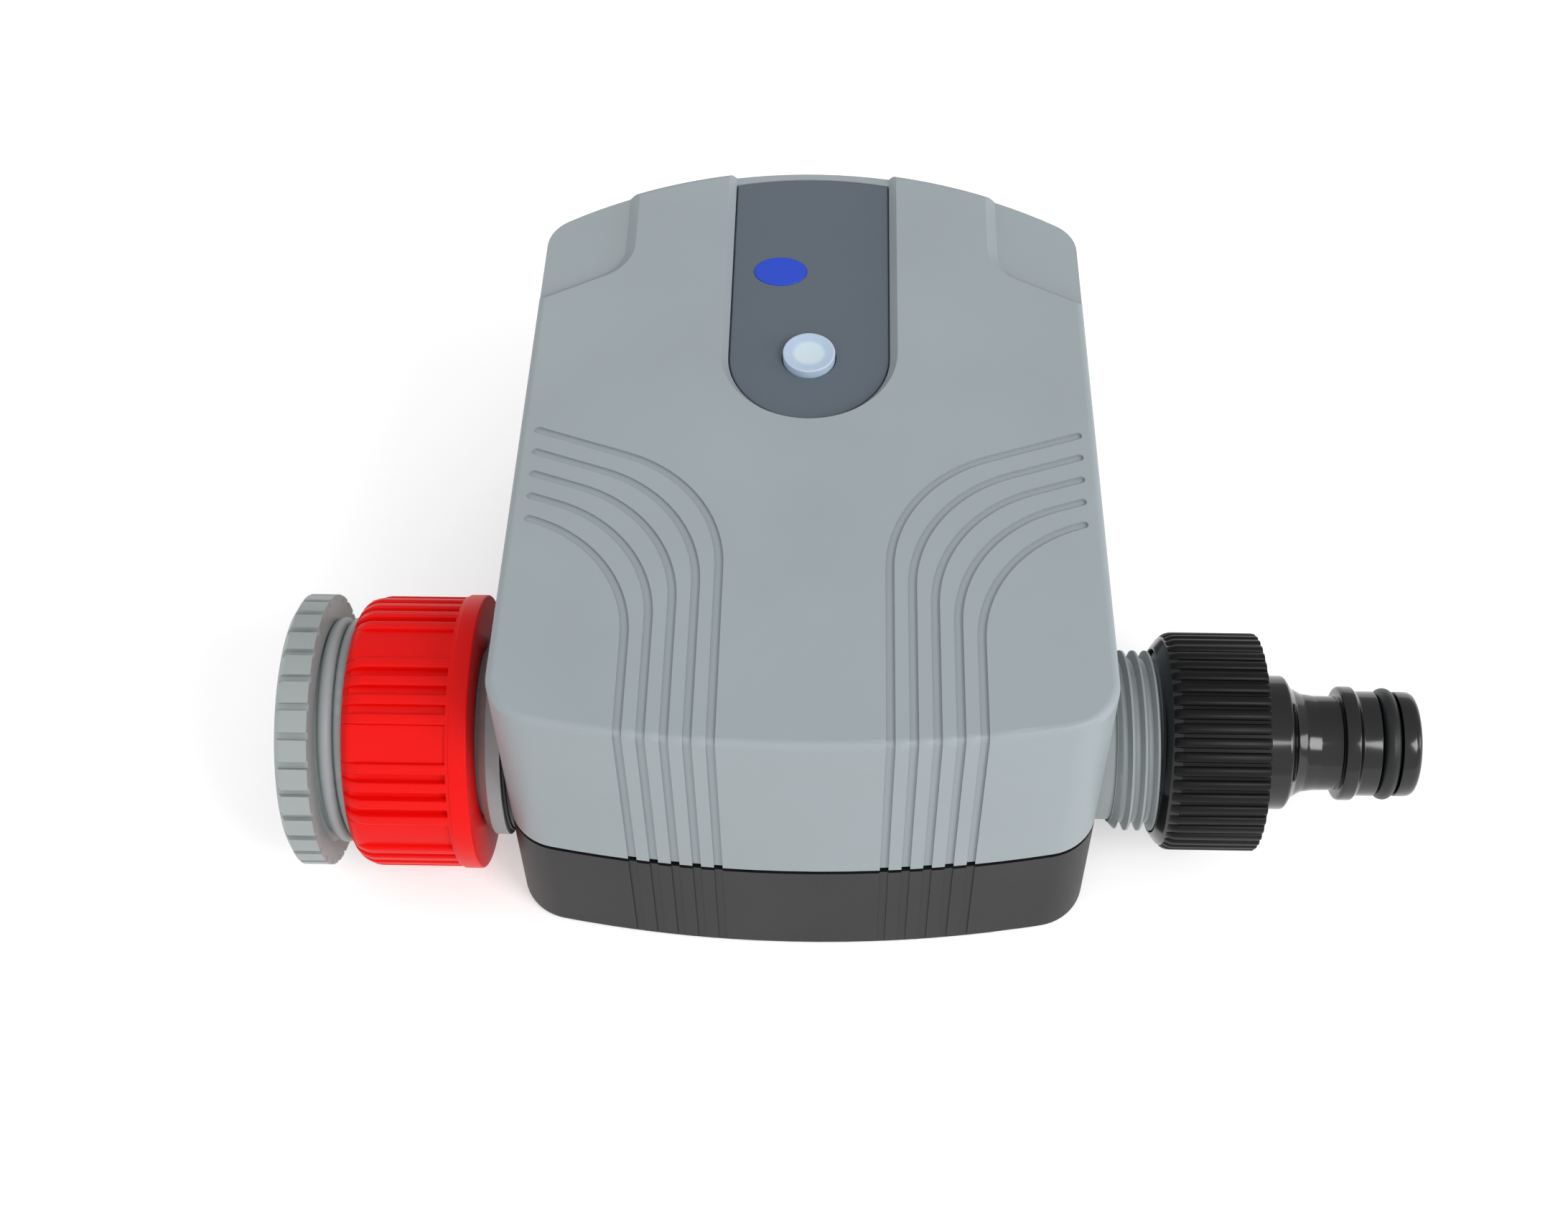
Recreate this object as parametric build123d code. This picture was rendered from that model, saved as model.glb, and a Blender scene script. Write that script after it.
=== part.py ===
from build123d import *
import os
from collections import namedtuple
from math import acos, ceil, cos, degrees, pi, radians, sin, sqrt, tan

os.makedirs("parts", exist_ok=True)

# A battery-powered water timer that hangs on a tap: a grey case on a dark base, with a
# motor-driven ball valve inside and threaded fittings on both sides.
# Millimetres. X runs along the water pipe from the tap to the hose, Y to the rear, Z up.
# The origin is on the underside of the base, straight below the middle of the pipe.

# The pipe's axis, which is also the height where cover and base meet
pipe_height = 22.2

# Case outline, seen from above
case_front = -22.9
case_front_arc = 190.0
case_rear = 85.9
case_rear_arc = 70.0
case_half_width = 42.15
case_half_width_rear = 41.1
rear_width_station = 60.0
front_corner = 8.0
rear_corner = 6.5

# Case heights and walls
case_height = 55.0
case_wall = 2.2
top_edge = 1.2
base_edge = 1.0
least_corner = 1.0
hole_reach = 5.0
reveal_height = 0.8
reveal_depth = 1.0
tongue_height = 2.2
tongue_wall = 1.3
slip = 0.1
gasket_height = 0.6
gasket_width = 0.8
gasket_inset = 1.2

# Five curved decorative grooves on each side of the cover, running down the front walls
groove_count = 5
groove_width = 1.25
groove_depth = 0.45
base_groove_depth = 0.2
groove_pitch = 3.08
groove_step_back = 2.99
groove_inner_x = 11.15
groove_arc = 21.5
groove_arc_y = 6.46
groove_fall = 19.1
groove_end_x = 39.5

# Lowered rear corners of the cover
corner_drop = 1.4
corner_slope_width = 1.6
corner_side = (50.1, 51.8)
corner_turn = (27.1, 63.3)
corner_round = 6.4
post_sink = 0.4

# Control panel let into the top
panel_half_width = 11.85
panel_front_centre = 46.6
panel_rear_y = 84.5
panel_rear_arc = 54.0
panel_drop = 1.5
panel_thick = 1.4
panel_gap = 0.2
panel_floor = 2.0
panel_edge = 0.15
recess_slope_width = 1.1
badge_at = (-4.65, 64.4)
badge_size = (8.1, 5.95)
badge_thick = 0.5
badge_proud = 0.1

# Push button
button_radius = 3.9
button_proud = 1.3
button_gap = 0.15
button_flange = 5.2
button_flange_thick = 1.2
button_stroke = 0.5
button_dish_sphere = 12.0
button_dish_depth = 0.35
button_stem_radius = 1.6
button_edge = 0.3

# Ball valve
pipe_radius = 12.5
outlet_pipe_radius = 11.65
outlet_pipe_length = 2.6
valve_bore = 9.6
ball_radius = 9.0
ball_port = 5.8
seat_length = 3.6
seat_shoulder = 8.8
seat_bore = 6.5
retainer_length = 11.0
retainer_bore = 7.2
ring_clearance = 0.05
outlet_bore = 8.0
tail_end = -58.0
collar_start = -46.2
collar_end = -43.0
collar_radius = 15.15
collar_edge = 1.2
stem_barrel = 3.85
stem_neck = 2.9
stem_collar = 5.2
stem_collar_thick = 0.9
stem_clearance = 0.05
stem_blade = (5.6, 2.0)
stem_blade_depth = 2.8
stem_flat = 2.2
stem_drive = 2.95
stem_groove_start = 1.6
stem_groove_pitch = 2.4
stem_groove_width = 1.5
o_ring_wire = 0.65
boss_radius = 7.2
mount_plate_thick = 2.8
mount_plate_x = (-33.0, 21.0)
mount_plate_half_depth = 11.0
ear_post_wall = 1.6
ear_post_start = 6.0

# Gearbox
gear_module = 0.6
pressure_angle = 25.0
tooth_backlash = 0.1
motor_teeth = 10
pinion_teeth = 10
wheel_teeth = 34
output_teeth = 40
gear_wall = 1.4
gear_room = 0.8
gearbox_floor = 38.2
gearbox_floor_thick = 1.5
gearbox_lid_thick = 1.6
gearbox_corner = 2.5
gearbox_inner_corner = 1.2
gearbox_lid_edge = 0.4
gear_level_step = 2.75
gear_thick = 2.0
output_thick = 2.6
gear_pin_radius = 1.0
gear_pin_clearance = 0.05
gear_pin_floor = 0.4
gear_pin_in_lid = 0.8
gear_floor_gap = 0.4
gear_lid_gap = 0.6
pinion_overrun = 0.3
second_gear_direction = 160.0
first_gear_direction = 42.0
motor_y = 18.8
motor_width = 12.0
motor_depth = 10.0
motor_length = 15.0
motor_shaft_radius = 0.75
motor_shaft_out = 4.6
motor_shaft_start = 3.0
motor_shaft_well = 2.0
motor_boss = (2.0, 1.2)
motor_tag = (1.4, 0.4, 1.6)
motor_tag_offset = 3.6
motor_lead_gap = 0.2

# Threads: core and crest radius, pitch, width of the crest, and where one crest passes
# the upper rear side of the pipe, as the view from above and in front shows it
Thread = namedtuple("Thread", "core crest pitch crest_width crest_x")
outlet_thread = Thread(12.05, 13.25, 1.814, 0.3, 46.45)
nut_thread = Thread(15.3, 16.6, 2.309, 0.45, -66.0)
tap_thread = Thread(12.3, 13.3, 1.814, 0.55, -68.0)
thread_flank = 0.42
thread_clearance = 0.2
thread_phase = 125.9
thread_lead_in = 1.0
thread_end_sink = 0.6
thread_end_rise = 0.3

# Red swivel nut on the inlet
nut_start = -65.1
nut_end = -46.8
nut_radius = 19.97
nut_flange_radius = 20.2
nut_flange_length = 2.7
nut_nose_radius = 17.8
nut_nose_length = 2.8
nut_nose_step = (1.4, 19.3)
nut_nose_round = 0.8
nut_thread_relief = 1.6
nut_bore = 12.75
nut_shoulder = -55.6
nut_lobes = 8
nut_wide_recess = 16.2
nut_wide_depth = 0.47
nut_wide_turn = 2.8
nut_rib_angle = 4.5
nut_groove_angle = 3.6
nut_groove_depth = 0.8
snap_ring_start = -57.0
snap_ring_thick = 1.2
snap_ring_groove = 0.9
snap_ring_radius = 14.0
snap_ring_split = 3.0

# Reducer ring between the tap and the nut
ring_start = -74.2
ring_face_end = -69.3
ring_end = -60.2
ring_radius = 20.0
ring_pads = 30
ring_groove_width = 1.1
ring_groove_depth = 0.9
ring_edge = 1.0
ring_edge_depth = 1.6
ring_ledge = -62.4
ring_ledge_bore = 8.2
tap_mouth = 13.5
tap_mouth_length = 2.0
tap_thread_relief = 2.0
filter_washer_thick = 2.5
filter_washer_radius = 11.9
filter_washer_bore = 7.6
filter_cone_tip = 3.6
filter_cone_end = -55.0
filter_screen_thick = 0.5
inlet_washer_radius = 14.4
washer_bore_gap = 0.2

# Black hose connector on the outlet
outlet_end = 56.6
outlet_washer_thick = 2.2
outlet_washer_radius = 11.9
connector_start = 51.0
connector_shoulder = [(51.3, 14.2), (52.1, 15.4)]
connector_shoulder_end = 53.4
connector_radius = 16.0
connector_body_end = 66.0
connector_ribs = 48
connector_rib_groove = 0.55
connector_rib_sink = 0.42
connector_lip_edge = 0.15
connector_thread_relief = 1.6
connector_mouth = 13.6
connector_mouth_length = 1.2
neck_radius = 9.83
neck_end = 70.2
throat_start = 74.8
throat_radius = 6.9
neck_flare = [(71.4, 8.0), (72.8, 7.25)]
nose_flange = (78.0, 80.75)
nose_flange_radius = 8.37
nose_flange_edges = (0.6, 0.65)
nose_radius = 7.7
nose_groove = (83.5, 86.4)
nose_groove_radius = 5.65
nose_end = 89.3
nose_round = 1.8
nose_bore = 4.5
nose_o_ring_wire = 1.27

# Rubber grommets where the pipe leaves the case
grommet_thick = 1.7
grommet_flange = 1.3
grommet_inner_flange = 1.4
grommet_lip = 0.3
grommet_slack = 0.3
grommet_sink = 0.6

# Batteries and their door in the base
cell_radius = 7.05
cell_length = 49.0
cell_nub = (2.6, 1.0)
cell_edge = 0.6
cell_pitch = 14.8
cell_front = 21.6
cell_count = 4
cell_clearance = 0.9
bay_inset = 5.0
bay_wall = 1.5
bay_roof = 1.5
contact_room = 1.6
cradle_x = 28.0
cradle_thick = 2.4
door_thick = 1.9
door_rim = 2.6
door_gap = 0.25
door_ledge = 1.7
door_seal_thick = 0.7
door_seal_width = 1.3
door_edge = 0.3
contact_thick = 0.4
contact_radius = 5.0
spring_radius = (2.4, 4.2)
spring_length = 2.0

# Screws: head radius, head height and shank radius
Screw = namedtuple("Screw", "head head_height shank")
case_screw = Screw(2.7, 2.0, 1.45)
door_screw = Screw(2.0, 1.2, 1.1)
board_screw = Screw(2.2, 1.4, 1.1)
gearbox_screw = Screw(2.4, 1.5, 1.2)
lid_screw = Screw(1.7, 0.9, 0.8)
lid_screw_depth = 4.0
lid_screw_slot = 0.35
lid_screw_overhang = 0.4
pilot_clearance = 0.05
case_boss = 3.0
case_screw_places = [(33.0, -16.3), (36.4, 19.5), (36.4, 62.0)]
case_screw_reach = 33.0
door_screw_places = [(36.2, 28.0), (36.2, 50.0)]
door_screw_length = 7.0
door_tab = 3.4
door_boss_cap = 1.0
screw_tip_gap = 0.5
board_screw_places = [(22.0, 31.5), (22.0, 71.5)]
board_boss = 3.0
board_screw_length = 6.0
gearbox_ear_places = [(-30.0, -8.0), (-30.0, 8.0), (18.0, -8.0), (18.0, 8.0)]
gearbox_ear_thick = 2.8
gearbox_ear_rim = 0.6
gearbox_ear_reach = 6.0
gearbox_screw_length = 8.0
screw_recess = 0.3
slot_width = 0.5

# Circuit board
board_size = (50.0, 49.5)
board_front = 27.5
board_thick = 1.6
board_corner = 2.0
board_top = 45.2
switch_size = (6.0, 6.0, 3.0)
switch_plunger = 1.4
switch_floor = 0.5
switch_edge = 0.2
plunger_gap = 0.08
plunger_spare = 0.2
plunger_foot = 0.3
led_size = (1.6, 1.0, 0.8)
led_gap = 0.3
radio_size = (16.0, 14.0, 2.4)
radio_at = (-9.0, 62.0)
radio_edge = 0.6
capacitor_radius = 4.0
capacitor_height = 9.0
capacitor_at = (13.0, 60.0)
capacitor_edge = 0.5
plug_size = (8.0, 5.0, 5.0)
plug_wall = 0.8
plug_floor = 1.0
plug_places = [(-15.0, 34.0), (15.0, 34.0)]
lead_radius = 0.6
lead_spacing = 1.8
lead_bend = 2.5
motor_lead_run = 9.0
motor_lead_rise = 7.0
battery_lead_shift = (-4.0, -8.0)
battery_lead_rises = (7.0, 12.0)

UP = (Align.CENTER, Align.CENTER, Align.MIN)
seam = 0.02


# Helpers

def rod(radius, low, high, at=(0.0, 0.0)):
    """Upright cylinder between two heights."""
    return Pos(at[0], at[1], low) * Cylinder(radius, high - low, align=UP)


def slab(plan, low, high):
    """A flat outline raised between two heights."""
    return extrude(Pos(0, 0, low) * plan, high - low)


def block(x_span, y_span, z_span):
    """Rectangular block between three pairs of limits."""
    size = [span[1] - span[0] for span in (x_span, y_span, z_span)]
    return Pos(x_span[0], y_span[0], z_span[0]) * Box(*size, align=(Align.MIN, Align.MIN, Align.MIN))


def layer(low, high):
    """Everything between two heights."""
    reach = 3 * case_rear
    return block((-reach, reach), (-reach, reach), (low, high))


def pipe(radius, start, end):
    """Cylinder on the water pipe's axis."""
    return Pos(start, 0, pipe_height) * Rot(0, 90, 0) * Cylinder(radius, end - start, align=UP)


def turned(*profile):
    """Solid turned about the water pipe's axis, from (x, radius) points."""
    face = Plane.XZ * Polygon(*profile, align=None)
    return Pos(0, 0, pipe_height) * revolve(face, axis=Axis.X)


def both_sides(shape):
    """A shape and its mirror image across the middle plane."""
    return [shape, mirror(shape, about=Plane.YZ)]


def mirrored(places):
    """Places on the right side, with their twins on the left."""
    return places + [(-x, y) for x, y in places]


def screw(kind, reach, slot_depth=0.5):
    """Screw that points up, with the underside of its head at height zero."""
    body = Pos(0, 0, -kind.head_height) * Cylinder(kind.head, kind.head_height, align=UP)
    body += Cylinder(kind.shank, reach, align=UP)
    cross = Box(kind.head * 1.3, slot_width, slot_depth, align=UP)
    cross += Box(slot_width, kind.head * 1.3, slot_depth, align=UP)
    return body - Pos(0, 0, -kind.head_height) * cross


def threaded_rod(thread, start, end, grow=0.0, faded=None):
    """Threaded rod on the pipe's axis; grow widens it to cut the thread that it fits.

    The ridge of an outside thread fades out at the faded pair of stations.
    """
    core = thread.core + grow
    crest = thread.crest + grow
    sink = 0.05
    depth = crest - core + sink
    half_crest = thread.crest_width / 2 + grow * 0.7
    half_root = half_crest + depth * thread_flank
    first = thread.crest_x - ceil((thread.crest_x - start) / thread.pitch + 1) * thread.pitch
    turns = ceil((end - first) / thread.pitch + 1)
    foot = core - sink
    helix = Helix(pitch=thread.pitch, height=turns * thread.pitch, radius=foot)
    tooth = Plane(origin=(foot, 0, 0), x_dir=(1, 0, 0), z_dir=(0, -1, 0)) * Polygon(
        (0, -half_root), (depth, -half_crest), (depth, half_crest), (0, half_root), align=None)
    ridge = sweep(tooth, path=helix, is_frenet=True)
    low = start - first
    high = end - first
    if faded:
        envelope = thread_ends(thread, faded[0] - first, faded[1] - first)
    else:
        envelope = Pos(0, 0, low) * Cylinder(crest + 1, high - low, align=UP)
    upright = rod(core, low, high) + (ridge & envelope)
    return Pos(first, 0, pipe_height) * Rot(thread_phase, 0, 0) * Rot(0, 90, 0) * upright


def thread_ends(thread, start, end):
    """Upright envelope that tapers a ridge at both of its ends."""
    low = thread.core - thread_end_sink
    high = thread.crest + thread_end_rise
    profile = Polygon((0, start), (low, start), (high, start + 2 * thread_lead_in),
                      (high, end - thread_lead_in), (low, end), (0, end), align=None)
    return revolve(Plane.XZ * profile, axis=Axis.Z)


# Case

def half_width(y):
    """Half of the case's width at a station along its length."""
    slope = (case_half_width - case_half_width_rear) / rear_width_station
    return case_half_width - slope * y


def outline(inset=0.0):
    """The case seen from above, drawn in by inset."""
    low = case_front - front_corner
    high = case_rear + front_corner
    sides = Polygon((-half_width(low) + inset, low), (half_width(low) - inset, low),
                    (half_width(high) - inset, high), (-half_width(high) + inset, high), align=None)
    front = Pos(0, case_front + case_front_arc) * Circle(case_front_arc - inset)
    rear_centre = case_rear - case_rear_arc
    rear = Pos(0, rear_centre) * Circle(case_rear_arc - inset)
    rear += Pos(0, rear_centre - case_rear_arc) * Rectangle(4 * case_rear_arc, 2 * case_rear_arc)
    plan = sides & front & rear
    front_points = [v for v in plan.vertices() if v.Y < 0]
    rear_points = [v for v in plan.vertices() if v.Y > 0]
    plan = fillet(front_points, max(front_corner - inset, least_corner))
    rear_points = [v for v in plan.vertices() if v.Y > panel_front_centre]
    return fillet(rear_points, max(rear_corner - inset, least_corner))


def capped(height, inset=0.0, edge=top_edge):
    """The case as a solid block with a rounded top edge."""
    body = extrude(outline(inset), height)
    return fillet(body.faces().sort_by(Axis.Z)[-1].edges(), edge)


def groove_plan(index):
    """One groove on the left side: down from its outer end, round a bend and straight forward."""
    centre_x = -(groove_inner_x + groove_arc + groove_pitch * index)
    centre_y = groove_arc_y - groove_step_back * index
    middle = groove_arc - groove_width / 2
    bend = 90 - groove_fall
    arc_end = (centre_x + middle * cos(radians(bend)), centre_y + middle * sin(radians(bend)))
    run = (arc_end[0] + groove_end_x - groove_width / 2) / cos(radians(groove_fall))
    outer_end = (arc_end[0] - run * cos(radians(groove_fall)), arc_end[1] + run * sin(radians(groove_fall)))
    path = Line(outer_end, arc_end)
    path += CenterArc((centre_x, centre_y), middle, bend, -bend)
    path += Line((centre_x + middle, centre_y), (centre_x + middle, case_front - groove_width))
    return trace(path, line_width=groove_width) + Pos(*outer_end) * Circle(groove_width / 2)


def groove_cutter(depth):
    """The skin that the ten grooves take off the case."""
    prisms = []
    for index in range(groove_count):
        prism = extrude(groove_plan(index), case_height + 1)
        prisms += both_sides(prism)
    core = capped(case_height - depth, depth, top_edge - depth)
    return [prism - core for prism in prisms]


def corner_cutter():
    """What is taken off the left rear corner of the cover, with its sloping step."""
    rear = case_rear + front_corner
    slope = degrees(acos(corner_drop / sqrt(corner_drop ** 2 + corner_slope_width ** 2)))
    grow = corner_slope_width
    side_x, side_y = corner_side
    turn_x, turn_y = corner_turn
    plan = Polygon((-turn_x - grow, rear), (-side_x, rear), (-side_x, side_y + grow),
                   (-turn_x - grow, turn_y + grow), align=None)
    turn = [v for v in plan.vertices() if v.X > -turn_x - grow - 1 and v.Y < rear - 1]
    plan = fillet(turn, corner_round)
    return extrude(Pos(0, 0, case_height - corner_drop) * plan, corner_drop, taper=-slope)


def panel_plan(grow=0.0, rear=None):
    """The control panel's outline: a half circle in front and an arc at the rear."""
    half = panel_half_width + grow
    back = panel_rear_y + grow if rear is None else rear
    plan = Pos(0, panel_front_centre) * Circle(half)
    plan += Pos(0, panel_front_centre) * Rectangle(2 * half, back - panel_front_centre + 1,
                                                   align=(Align.CENTER, Align.MIN))
    if rear is None:
        limit = Pos(0, back - panel_rear_arc) * Circle(panel_rear_arc)
        plan = plan & limit
    return plan


def panel_recess():
    """The sloped recess round the panel, open to the rear."""
    slope = degrees(acos(panel_drop / sqrt(panel_drop ** 2 + recess_slope_width ** 2)))
    plan = Pos(0, 0, case_height - panel_drop) * panel_plan(panel_gap, case_rear + front_corner)
    return extrude(plan, panel_drop, taper=-slope)


def top_cover():
    """Grey upper shell with its grooves, lowered corners, panel recess and screw posts."""
    cover = capped(case_height)
    cover -= [cut - capped(case_height - corner_drop) for cut in both_sides(corner_cutter())]
    cover -= panel_recess() - capped(case_height - panel_drop)
    cover -= groove_cutter(groove_depth)
    cover -= extrude(outline(case_wall), case_height - case_wall)
    room = extrude(outline(case_wall / 2), case_height - case_wall / 2)
    panel_top = case_height - panel_drop
    pocket_floor = panel_top - panel_thick
    cover += slab(panel_plan(case_wall), pocket_floor - panel_floor, case_height - case_wall / 2) & (
        room - panel_recess() - slab(panel_plan(panel_gap), pocket_floor, case_height))
    cover -= slab(panel_plan(panel_gap), pocket_floor, case_height)
    for place in mirrored(case_screw_places):
        cover += rod(case_boss, pipe_height, case_height - case_wall + post_sink, place) & room
    for place in mirrored(board_screw_places):
        cover += rod(board_boss, board_top, case_height - case_wall / 2, place)
    cover -= layer(-1, pipe_height)
    cover -= [rod(case_screw.shank + pilot_clearance, 0, case_screw_reach + 1, p)
              for p in mirrored(case_screw_places)]
    cover -= [rod(board_screw.shank + pilot_clearance, board_top - 1, board_top + board_screw_length, p)
              for p in mirrored(board_screw_places)]
    cover -= rod(button_radius + button_gap, board_top, case_height, (0, panel_front_centre))
    return cover - pipe_holes()


def pipe_holes():
    """The two holes in the case that the grommets fill."""
    near = case_half_width - hole_reach
    far = case_half_width + hole_reach
    return [pipe(pipe_radius + grommet_thick, -far, -near),
            pipe(outlet_pipe_radius + grommet_thick, near, far)]


def bay_plan(grow=0.0):
    """The battery bay seen from above."""
    half = cell_pitch * cell_count / 2 + cell_clearance + grow
    front = bay_front() - grow
    plan = Pos(0, front) * Rectangle(2 * half, case_rear - front, align=(Align.CENTER, Align.MIN))
    return plan & outline(bay_inset - grow)


def door_plan(grow=0.0):
    """The battery door: the bay with a rim, and a tab round each of its screws."""
    plan = bay_plan(door_rim + grow)
    for x, y in mirrored(door_screw_places):
        plan += Pos(x, y) * Circle(door_tab + grow)
        plan += Pos(x / 2, y) * Rectangle(abs(x), 2 * (door_tab + grow))
    return plan


def bay_top():
    """Height of the inside of the battery bay's roof."""
    return door_thick + cell_clearance + 2 * cell_radius + cell_clearance


def base_shell():
    """Dark lower shell with the battery bay, screw posts and two cradles for the pipe."""
    rim = pipe_height - reveal_height
    base = extrude(outline(), rim)
    base = fillet(base.faces().sort_by(Axis.Z)[0].edges(), base_edge)
    base -= groove_cutter(base_groove_depth)
    inner = case_wall + tongue_wall + slip
    ledge = slab(outline(reveal_depth), rim - case_wall, pipe_height)
    tongue = slab(outline(case_wall + slip), pipe_height, pipe_height + tongue_height)
    for place in mirrored(case_screw_places):
        tongue -= rod(case_boss + 3 * slip, pipe_height, pipe_height + tongue_height, place)
    base = base + ledge + tongue - slab(outline(inner), case_wall, pipe_height + tongue_height)
    inside = extrude(outline(case_wall / 2), pipe_height)
    base += slab(bay_plan(bay_wall), case_wall / 2, bay_top() + bay_roof) & inside
    base += slab(door_plan(bay_wall), case_wall / 2, door_thick + door_ledge) & inside
    for place in mirrored(case_screw_places):
        base += rod(case_boss, case_wall / 2, pipe_height, place) & inside
    for place in mirrored(door_screw_places):
        base += rod(door_tab, case_wall / 2, door_thick + door_screw_length + door_boss_cap, place) & inside
    for x in (-cradle_x, cradle_x):
        base += block((x - cradle_thick / 2, x + cradle_thick / 2),
                      (case_front + 1, bay_front() - bay_wall / 2), (case_wall / 2, pipe_height)) & inside
    base -= pipe(pipe_radius + slip / 2, -case_half_width + hole_reach, case_half_width - hole_reach)
    base -= slab(bay_plan(), -1, bay_top())
    base -= slab(door_plan(door_gap), -1, door_thick)
    base -= slab(seal_plan(), door_thick - 1, door_thick + door_seal_thick)
    base -= gasket_ring()
    for place in mirrored(case_screw_places):
        base -= rod(case_screw.head + 3 * slip, -1, case_screw.head_height + screw_recess, place)
        base -= rod(case_screw.shank + 2 * slip, -1, pipe_height + 1, place)
    for place in mirrored(door_screw_places):
        base -= rod(door_screw.shank + pilot_clearance, -1, door_thick + door_screw_length, place)
    return base - pipe_holes()


def bay_front():
    """The inside of the battery bay's front wall."""
    return cell_front - contact_room


def gasket_ring():
    """Seal between the two shells, let into the base's rim."""
    plan = outline(gasket_inset) - outline(gasket_inset + gasket_width)
    return slab(plan, pipe_height - gasket_height, pipe_height)


def case_gasket():
    """The seal, in the two lengths between the pipe's holes."""
    return gasket_ring() - pipe_holes()


def case_screws():
    """Six screws up through the base into the cover's posts."""
    reach = case_screw_reach - case_screw.head_height - screw_recess
    one = screw(case_screw, reach)
    return [Pos(x, y, case_screw.head_height + screw_recess) * one for x, y in mirrored(case_screw_places)]


def display_panel():
    """Slate panel on the top with holes for the button and the round badge."""
    top = case_height - panel_drop
    panel = slab(panel_plan(), top - panel_thick, top)
    panel = chamfer(panel.faces().sort_by(Axis.Z)[-1].edges(), panel_edge)
    panel -= rod(button_radius + button_gap, top - panel_thick - 1, top + 1, (0, panel_front_centre))
    return panel - slab(badge_plan(seam), top - badge_thick, top + 1)


def badge_plan(grow=0.0):
    """Oval badge place."""
    return Pos(*badge_at) * Ellipse(badge_size[0] / 2 + grow, badge_size[1] / 2 + grow)


def badge():
    """Plain blue oval on the panel."""
    top = case_height - panel_drop
    body = slab(badge_plan(), top - badge_thick, top + badge_proud)
    return body


# Button and electronics

def push_button():
    """Translucent button with a dished top, a flange under the cover and a stem to the switch."""
    top = case_height - panel_drop + button_proud
    flange_top = case_height - panel_drop - panel_thick - panel_floor
    at = (0, panel_front_centre)
    cap = rod(button_radius, flange_top - seam, top, at)
    cap = fillet(cap.edges().filter_by(GeomType.CIRCLE).sort_by(Axis.Z)[-1], button_edge)
    cap -= Pos(at[0], at[1], top + button_dish_sphere - button_dish_depth) * Sphere(button_dish_sphere)
    cap += rod(button_flange, flange_top - button_flange_thick, flange_top, at)
    cap += rod(button_stem_radius, plunger_top(), flange_top, at)
    return cap


def plunger_top():
    """Top of the switch's plunger at rest."""
    return board_top + switch_size[2] + button_stroke + plunger_spare


def switch_well():
    """Space in the switch for its plunger and travel."""
    return rod(switch_plunger + plunger_gap, board_top + switch_floor, board_top + switch_size[2] + 1,
               (0, panel_front_centre))


def tact_switch():
    """Square push switch on the board."""
    body = Pos(0, panel_front_centre, board_top) * Box(*switch_size, align=UP)
    return chamfer(body.edges().group_by(Axis.Z)[-1], switch_edge) - switch_well()


def switch_plunger_piece():
    """The switch's own plunger, under the button's stem."""
    foot = board_top + switch_floor + button_stroke + plunger_foot
    return rod(switch_plunger, foot, plunger_top(), (0, panel_front_centre))


def circuit_board():
    """Printed circuit board hung under the cover."""
    board = Pos(0, board_front, board_top - board_thick) * Box(
        board_size[0], board_size[1], board_thick, align=(Align.CENTER, Align.MIN, Align.MIN))
    board = fillet(board.edges().filter_by(Axis.Z), board_corner)
    return board - [rod(board_screw.shank + slip, 0, case_height, p) for p in mirrored(board_screw_places)]


def board_screws():
    """Four screws up through the board into the cover's posts."""
    one = screw(board_screw, board_thick + board_screw_length - screw_tip_gap)
    return [Pos(x, y, board_top - board_thick) * one for x, y in mirrored(board_screw_places)]


def status_led():
    """Light beside the switch that shines through the button."""
    x = (switch_size[0] + led_size[0]) / 2 + led_gap
    return Pos(x, panel_front_centre, board_top) * Box(*led_size, align=UP)


def radio_module():
    """Radio under its metal can."""
    can = Pos(radio_at[0], radio_at[1], board_top) * Box(*radio_size, align=UP)
    return fillet(can.edges().group_by(Axis.Z)[-1] + can.edges().filter_by(Axis.Z), radio_edge)


def capacitor():
    """Reservoir capacitor for the motor, lying on the board."""
    x, y = capacitor_at
    can = Pos(x, y, board_top - board_thick - capacitor_radius) * Rot(90, 0, 0) * Cylinder(
        capacitor_radius, capacitor_height)
    return fillet(can.edges().filter_by(GeomType.CIRCLE), capacitor_edge)


def lead_sockets():
    """Two sockets on the board for the motor's and the batteries' leads."""
    socket = Box(*plug_size, align=(Align.CENTER, Align.CENTER, Align.MAX))
    socket -= Pos(0, 0, -plug_size[2]) * Box(plug_size[0] - 2 * plug_wall, plug_size[1] - 2 * plug_wall,
                                             plug_size[2] - plug_floor, align=UP)
    return [Pos(x, y, board_top - board_thick) * socket for x, y in plug_places]


def lead_pair(points):
    """Two insulated leads along a route; each point has the gap between the two."""
    leads = []
    for side in (-0.5, 0.5):
        route = FilletPolyline(*[(x + side * gap, y, z) for x, y, z, gap in points], radius=lead_bend)
        start = Plane(origin=route @ 0, z_dir=route % 0)
        leads.append(sweep(start * Circle(lead_radius), path=route))
    return leads


def motor_leads():
    """Leads from the motor's terminals to their socket."""
    x, y = motor_at
    plug_x, plug_y = plug_places[1]
    low = gearbox_floor - motor_length - lead_radius - motor_lead_gap
    start = y + motor_tag[1] / 2 + seam
    socket = board_top - board_thick - plug_size[2]
    return lead_pair([(x, start, low, 2 * motor_tag_offset),
                      (x, y + motor_lead_run, low, 2 * motor_tag_offset),
                      (plug_x, plug_y, low + motor_lead_rise, lead_spacing),
                      (plug_x, plug_y, socket, lead_spacing)])


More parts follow.
